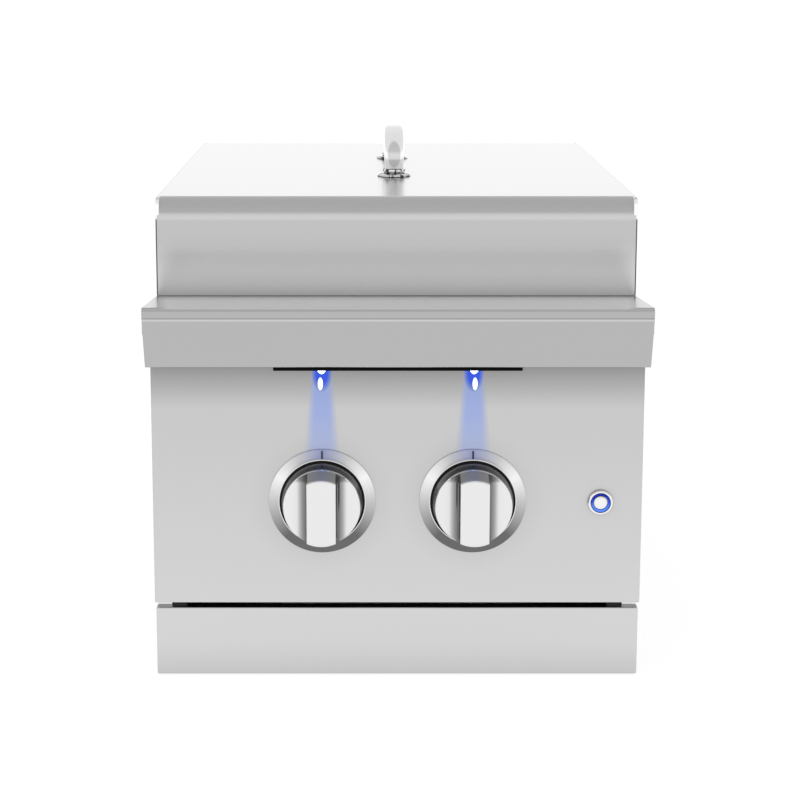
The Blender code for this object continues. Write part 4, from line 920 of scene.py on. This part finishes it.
def handle():
    """The arched bar, from one collar's middle to the other's."""
    bar = Box("lid_handle")
    middle = bar.middle
    span = bar.size.y - 2 * HANDLE_FOOT
    rise = bar.size.z - bar.radius * HANDLE_FLAT - HANDLE_LEG
    path = [(middle.x, middle.y - span / 2, bar.low.z)]
    radii = [HANDLE_FOOT]
    for i in range(HANDLE_STEPS + 1):
        swing = pi * i / HANDLE_STEPS
        along = squared(-cos(swing), HANDLE_POWER) * span / 2
        up = max(0, sin(swing)) ** (2 / HANDLE_POWER)
        path.append((middle.x, middle.y + along, bar.low.z + HANDLE_LEG + rise * up))
        radii.append(HANDLE_FOOT + (bar.radius - HANDLE_FOOT) * abs(sin(swing)) ** HANDLE_SWELL)
    path.append((middle.x, middle.y + span / 2, bar.low.z))
    radii.append(HANDLE_FOOT)
    bm = bmesh.new()
    rings = []
    for i, (place, radius) in enumerate(zip(path, radii)):
        ahead = Vector(path[min(i + 1, len(path) - 1)]) - Vector(path[max(i - 1, 0)])
        outward = Vector((0, -ahead.z, ahead.y)).normalized()
        ring = []
        for step in range(HANDLE_SIDES):
            turn = 2 * pi * step / HANDLE_SIDES
            across = squared(cos(turn), HANDLE_SQUARE) * radius
            out = squared(sin(turn), HANDLE_SQUARE) * radius * HANDLE_FLAT
            ring.append(bm.verts.new(Vector(place) + outward * out + Vector((across, 0, 0))))
        rings.append(ring)
    for ring, beyond in zip(rings, rings[1:]):
        for step in range(HANDLE_SIDES):
            after = (step + 1) % HANDLE_SIDES
            bm.faces.new((ring[step], ring[after], beyond[after], beyond[step]))
    bm.faces.new(rings[0])
    bm.faces.new(rings[-1])
    stand_in(bm, "lid_handle", HANDLE_METAL)


def collar(end):
    """A grooved collar under an end of the handle."""
    node = end + "_handle_rosette"
    box = Box(node)
    wide = box.radius
    tall = box.size.z
    profile = [(wide * out, tall * up) for out, up in COLLAR_SHAPE]
    step, rim = COLLAR_FOOT
    profile += [
        (wide - COLLAR_RIM, tall * step),
        (wide, tall * rim),
        (wide, 0),
        (profile[0][0], 0),
    ]
    bm = seat(lathe(profile, steps=64), (box.middle.x, box.middle.y, box.low.z))
    stand_in(bm, node, COLLAR_METAL, EDGE_FINE)


def mark(name, start, end, at, body):
    """A thin black line up a bezel, from one point to another, each a radius and a height."""
    bm = bmesh.new()
    for x in (-MARK_W / 2, MARK_W / 2):
        for radius, height in (start, end):
            for lift in (-MARK_T, MARK_T):
                bm.verts.new((x, radius, height + lift))
    bmesh.ops.convex_hull(bm, input=bm.verts)
    seat(bm, at, FRONT)
    show(name, mesh_of(bm, name), None, MARKING, body=body)


def bezel(side):
    """The dished ring round a knob, with a painted shadow in its well and a mark at its top."""
    node = side + "_bezel"
    box = Box(node)
    place = box.middle
    outer = box.radius
    deep = box.size.y
    mouth = outer - BEZEL_W
    crest = mouth + BEZEL_RIM
    slope = outer - crest - BEZEL_LIP
    brink = deep - BEZEL_SOFT
    profile = [(mouth, deep - BEZEL_CHAMFER), (mouth + BEZEL_SOFT, deep), (crest - BEZEL_SOFT, deep)]
    for step in range(DISH_STEPS + 1):
        out = step / DISH_STEPS
        profile.append((crest + out * slope, brink - (brink - DISH_FOOT) * out**DISH_POWER))
    profile += [
        (outer, BEZEL_LIP),
        (outer, 0),
        (STEM_HOLE, 0),
        (STEM_HOLE, BEZEL_FLOOR),
        (mouth, BEZEL_FLOOR),
    ]
    at = (place.x, box.high.y, place.z)
    bm = seat(lathe(profile, steps=128), at, FRONT)
    ring = stand_in(bm, node, turned_steel(node + "_metal", place))
    ring.data.materials.append(SHADOW_BLACK)
    ring.data.materials.append(POLISHED)
    # the well's faces take black as a painted shadow
    for face in ring.data.polygons:
        out = Vector((face.center.x - place.x, face.center.z - place.z)).length
        if out < mouth + BEZEL_MARGIN:
            face.material_index = 1
        elif out < crest:
            face.material_index = 2
    start = (crest + MARK_FROM[0], deep - MARK_FROM[1])
    end = (outer - MARK_TO[0], MARK_TO[1])
    mark(node + "_mark", start, end, at, BODY_OF[node])


def knob(side):
    """A knob: a fine turned skirt milled to an upright grip with coved flanks."""
    node = side + "_knob"
    box = Box(node)
    place = box.middle
    skirt = box.radius
    top = box.size.y
    face = top - GRIP_FACE
    floor = face - KNOB_WALL
    profile = [
        (0, top),
        *((skirt * share, top - drop) for share, drop in KNOB_CROWN),
        *((skirt * share, face - drop) for share, drop in KNOB_BROW),
        (skirt, KNOB_HEEL),
        (skirt - KNOB_HEEL, 0),
        (skirt - KNOB_WALL, 0),
        (skirt * KNOB_TAPER - KNOB_WALL, floor),
        (HUB_OUTER, floor),
        (HUB_OUTER, 0),
        (HUB_BORE, 0),
        (HUB_BORE, HUB_DEPTH),
        (0, HUB_DEPTH),
    ]
    half = GRIP_W / 2
    above = top + MILL_OVER
    mills = []
    for way in (-1, 1):
        cove = arc((half + GRIP_COVE, face + GRIP_COVE), GRIP_COVE, 180, 270, GRIP_COVE_STEPS)
        outline = [(half, above), *cove, (2 * skirt, face), (2 * skirt, above)]
        mills.append(prism([(way * x, z) for x, z in outline], Y, -2 * skirt, 2 * skirt))
    bm = seat(cut(lathe(profile), mills, node), (place.x, box.high.y, place.z), FRONT)
    turned = stand_in(bm, node, KNOB_METAL, KNOB_EDGE)
    turned.data.materials.append(SKIRT_METAL)
    turned.data.materials.append(POLISHED)
    for polygon in turned.data.polygons:
        out = Vector((polygon.center.x - place.x, polygon.center.z - place.z)).length
        if out > skirt * SKIRT_FROM and abs(polygon.normal.y) < 0.5:
            polygon.material_index = 1
        elif out > skirt * BROW_FROM and polygon.normal.y < -0.1:
            polygon.material_index = 2


def switch():
    """The push button: a bright collar, a lit blue ring and a domed cap."""
    box = Box("switch_housing")
    wide = box.radius
    deep = box.size.y
    profile = [
        (SWITCH_MOUTH, 0),
        (SWITCH_MOUTH + SWITCH_LIP, 0),
        *((wide - inset, -drop) for inset, drop in SWITCH_RIM),
        (wide, -SWITCH_FLANGE),
        (SWITCH_NECK, -SWITCH_FLANGE),
        (SWITCH_NECK, -deep),
        (SWITCH_BORE, -deep),
        (SWITCH_BORE, -deep + SWITCH_FLOOR),
        (SWITCH_WELL, -deep + SWITCH_FLOOR),
        (SWITCH_WELL, -SWITCH_SEAT),
        (SWITCH_MOUTH, -SWITCH_SEAT),
    ]
    bm = seat(lathe(profile, steps=64), (box.middle.x, box.low.y, box.middle.z), FRONT)
    stand_in(bm, "switch_housing", POLISHED)
    ring = Box("switch_light_ring")
    button = Box("switch_button")
    blue = lit_ring("ring_blue", ring.middle, button.radius, ring.radius)
    softened("switch_light_ring", blue, EDGE_FINE)
    wide = button.radius
    deep = button.size.y
    profile = [(wide * share, -drop) for share, drop in BUTTON_SHAPE]
    profile += [(wide, -deep), (0, -deep)]
    bm = seat(lathe(profile, steps=48), (button.middle.x, button.low.y, button.middle.z), FRONT)
    stand_in(bm, "switch_button", POLISHED)
    softened("switch_nut", SHEET_STEEL)


def lamp(side):
    """A lit lens under the lamp bar."""
    node = side + "_lamp"
    box = Box(node)
    wide = box.radius
    tall = box.size.z
    dome = [(wide * share, -tall * drop) for share, drop in LENS_SHAPE]
    profile = [(0, 0), (wide, 0), *dome, (0, -tall)]
    bm = seat(lathe(profile, steps=40), (box.middle.x, box.middle.y, box.high.z))
    stand_in(bm, node, LENS)


def burner_ring(end):
    """A burner's brass ring with its row of ports."""
    node = end + "_burner_ring"
    box = Box(node)
    wide = box.radius
    tall = box.size.z
    bore = wide - BURNER_WALL
    profile = [
        (bore, tall),
        *((wide - inset, tall - drop) for inset, drop in BURNER_RIM),
        *((wide - inset, tall * share) for inset, share in BURNER_WAIST),
        (wide, 0),
        (bore, 0),
    ]
    ports = bmesh.new()
    for i in range(PORTS):
        turn = Matrix.Rotation(2 * pi * (i + 0.5) / PORTS, 4, "Z")
        out = Matrix.Translation(((bore + wide) / 2, 0, tall))
        size = Matrix.Diagonal((BURNER_WALL + 2 * PORT_OVER, PORT_W, 2 * PORT_DEPTH, 1))
        bmesh.ops.create_cube(ports, size=1, matrix=turn @ out @ size)
    bm = seat(cut(lathe(profile), [ports], node), (box.middle.x, box.middle.y, box.low.z))
    stand_in(bm, node, BRASS, EDGE_FINE)


def burner_cap(end):
    """A burner's domed cap on its hollow spigot."""
    node = end + "_burner_cap"
    box = Box(node)
    wide = box.radius
    tall = box.size.z - CAP_SPIGOT
    crown = [(sin(radians(a)), 1 - CAP_CROWN + CAP_CROWN * cos(radians(a))) for a in range(9, 90, 9)]
    spigot_hollow, middle_hollow = CAP_HOLLOW
    profile = [
        (0, CAP_SPIGOT + tall),
        *((wide * out, CAP_SPIGOT + tall * up) for out, up in crown),
        (wide, CAP_SPIGOT + tall * CAP_EDGE),
        (wide - CAP_RIM, CAP_SPIGOT),
        (wide - SPIGOT_OUTER, CAP_SPIGOT),
        (wide - SPIGOT_OUTER, 0),
        (wide - SPIGOT_BORE, 0),
        (wide - SPIGOT_BORE, CAP_SPIGOT + tall * spigot_hollow),
        (0, CAP_SPIGOT + tall * middle_hollow),
    ]
    bm = seat(lathe(profile, steps=80), (box.middle.x, box.middle.y, box.low.z))
    stand_in(bm, node, ENAMEL)


SOFTENED = {
    "burner_box": SHEET_STEEL,
    "front_box_frame": SHEET_STEEL,
    "rear_box_frame": SHEET_STEEL,
    "rear_panel": SHEET_STEEL,
    "deck": DECK_STEEL,
    "front_fascia": FASCIA_STEEL,
    "tray_front": TRAY_STEEL,
    "burner_pan": ENAMEL,
    "heat_shield": SHEET_STEEL,
    "left_tray_rail": SHEET_STEEL,
    "right_tray_rail": SHEET_STEEL,
    "drip_tray": SHEET_STEEL,
    "manifold": SHEET_STEEL,
    "gas_supply_pipe": BRASS,
    "gas_inlet": BRASS,
    "power_inlet": PLASTIC,
    "front_grate": POLISHED,
    "rear_grate": POLISHED,
    "front_handle_screw": SHEET_STEEL,
    "rear_handle_screw": SHEET_STEEL,
    "front_mixing_tube": CAST,
    "rear_mixing_tube": CAST,
    "front_air_shutter": SHEET_STEEL,
    "rear_air_shutter": SHEET_STEEL,
}
for side in SIDES:
    SOFTENED[side + "_valve_body"] = CAST
    SOFTENED[side + "_valve_bonnet"] = CAST
    SOFTENED[side + "_valve_plug"] = BRASS
    SOFTENED[side + "_valve_stem"] = BRASS
    SOFTENED[side + "_gas_orifice"] = BRASS
SOFTENED["control_panel"] = PANEL_STEEL
for node, material in SOFTENED.items():
    softened(node, material)

lid_shell()
for side in SIDES:
    lid_end(side)
handle()
for end in ENDS:
    collar(end)
for side in SIDES:
    bezel(side)
    knob(side)
switch()
softened("light_bar", PLASTIC, EDGE_WIDE)
for side in SIDES:
    lamp(side)
for end in ENDS:
    softened(end + "_burner_base", CAST)
    burner_ring(end)
    burner_cap(end)
    softened(end + "_igniter", CERAMIC, 0.0)


# Studio


def seen_rays(tree):
    """1 for rays that show the backdrop: straight, mirrored or through glass."""
    ray = tree.add("LightPath").outputs
    mirrored = tree.math("MAXIMUM", ray["Is Camera Ray"], ray["Is Glossy Ray"])
    return tree.math("MAXIMUM", mirrored, ray["Is Transmission Ray"])


def room():
    """A plain white room, whose seen backdrop is brightest just above the horizon."""
    world = bpy.data.worlds.new("studio")
    bpy.context.scene.world = world
    tree = Tree(world)
    way = tree.add("SeparateXYZ", Vector=tree.add("TexCoord").outputs["Generated"]).outputs
    height = tree.math("MULTIPLY_ADD", way[Z], 0.5, 0.5)
    rear = tree.math("ADD", way[Y], 0.0, clamp=True)
    backdrop = tree.math("MULTIPLY_ADD", tree.ramp(height, REAR_GLOW), rear, tree.ramp(height, BACKDROP))
    colour = tree.mix(seen_rays(tree), (ROOM_LIGHT,) * 3, backdrop)
    tree.links.new(colour, tree.nodes["Background"].inputs["Color"])


def white_floor():
    """A floor that looks white and takes only the part's faint shadow."""
    bm = bmesh.new()
    bmesh.ops.create_grid(bm, x_segments=1, y_segments=1, size=FLOOR_SIZE / 2)
    mesh = mesh_of(bm, "floor", closed=False)
    floor = bpy.data.objects.new("floor", mesh)
    bpy.context.collection.objects.link(floor)
    floor.location.z = cad_low[2] - FLOOR_GAP
    material = bpy.data.materials.new("floor")
    mesh.materials.append(material)
    tree = Tree(material)
    tree.nodes.clear()
    white = tree.add("Emission", Color=(*WHITE, 1), Strength=FLOOR_GLOW).outputs[0]
    matt = tree.add("BsdfDiffuse", Color=(FLOOR_GREY, FLOOR_GREY, FLOOR_GREY, 1)).outputs[0]
    shown = tree.math("MULTIPLY", seen_rays(tree), FLOOR_WHITE)
    lit = tree.add("MixShader", i0=shown, i1=matt, i2=white).outputs[0]
    tree.add("OutputMaterial", Surface=lit)


def key_light():
    """A soft box above the left, which no metal mirrors."""
    data = bpy.data.lights.new("key", "AREA")
    data.shape = "RECTANGLE"
    data.size, data.size_y = KEY_SIZE
    data.energy = KEY_POWER
    lamp = bpy.data.objects.new("key", data)
    bpy.context.collection.objects.link(lamp)
    lamp.location = KEY_AT
    lamp.rotation_euler = (Vector(KEY_AIM) - Vector(KEY_AT)).to_track_quat("-Z", "Y").to_euler()
    lamp.visible_glossy = False


def camera():
    """The photograph's camera: a little above the deck, straight in front."""
    data = bpy.data.cameras.new("camera")
    data.lens = CAMERA_LENS
    data.sensor_width = CAMERA_SENSOR
    data.shift_x, data.shift_y = CAMERA_SHIFT
    shot = bpy.data.objects.new("camera", data)
    bpy.context.collection.objects.link(shot)
    shot.location = CAMERA_AT
    shot.rotation_euler = (radians(90 - CAMERA_PITCH), 0, 0)
    bpy.context.scene.camera = shot


room()
white_floor()
key_light()
camera()
bpy.context.scene.view_settings.view_transform = "Standard"
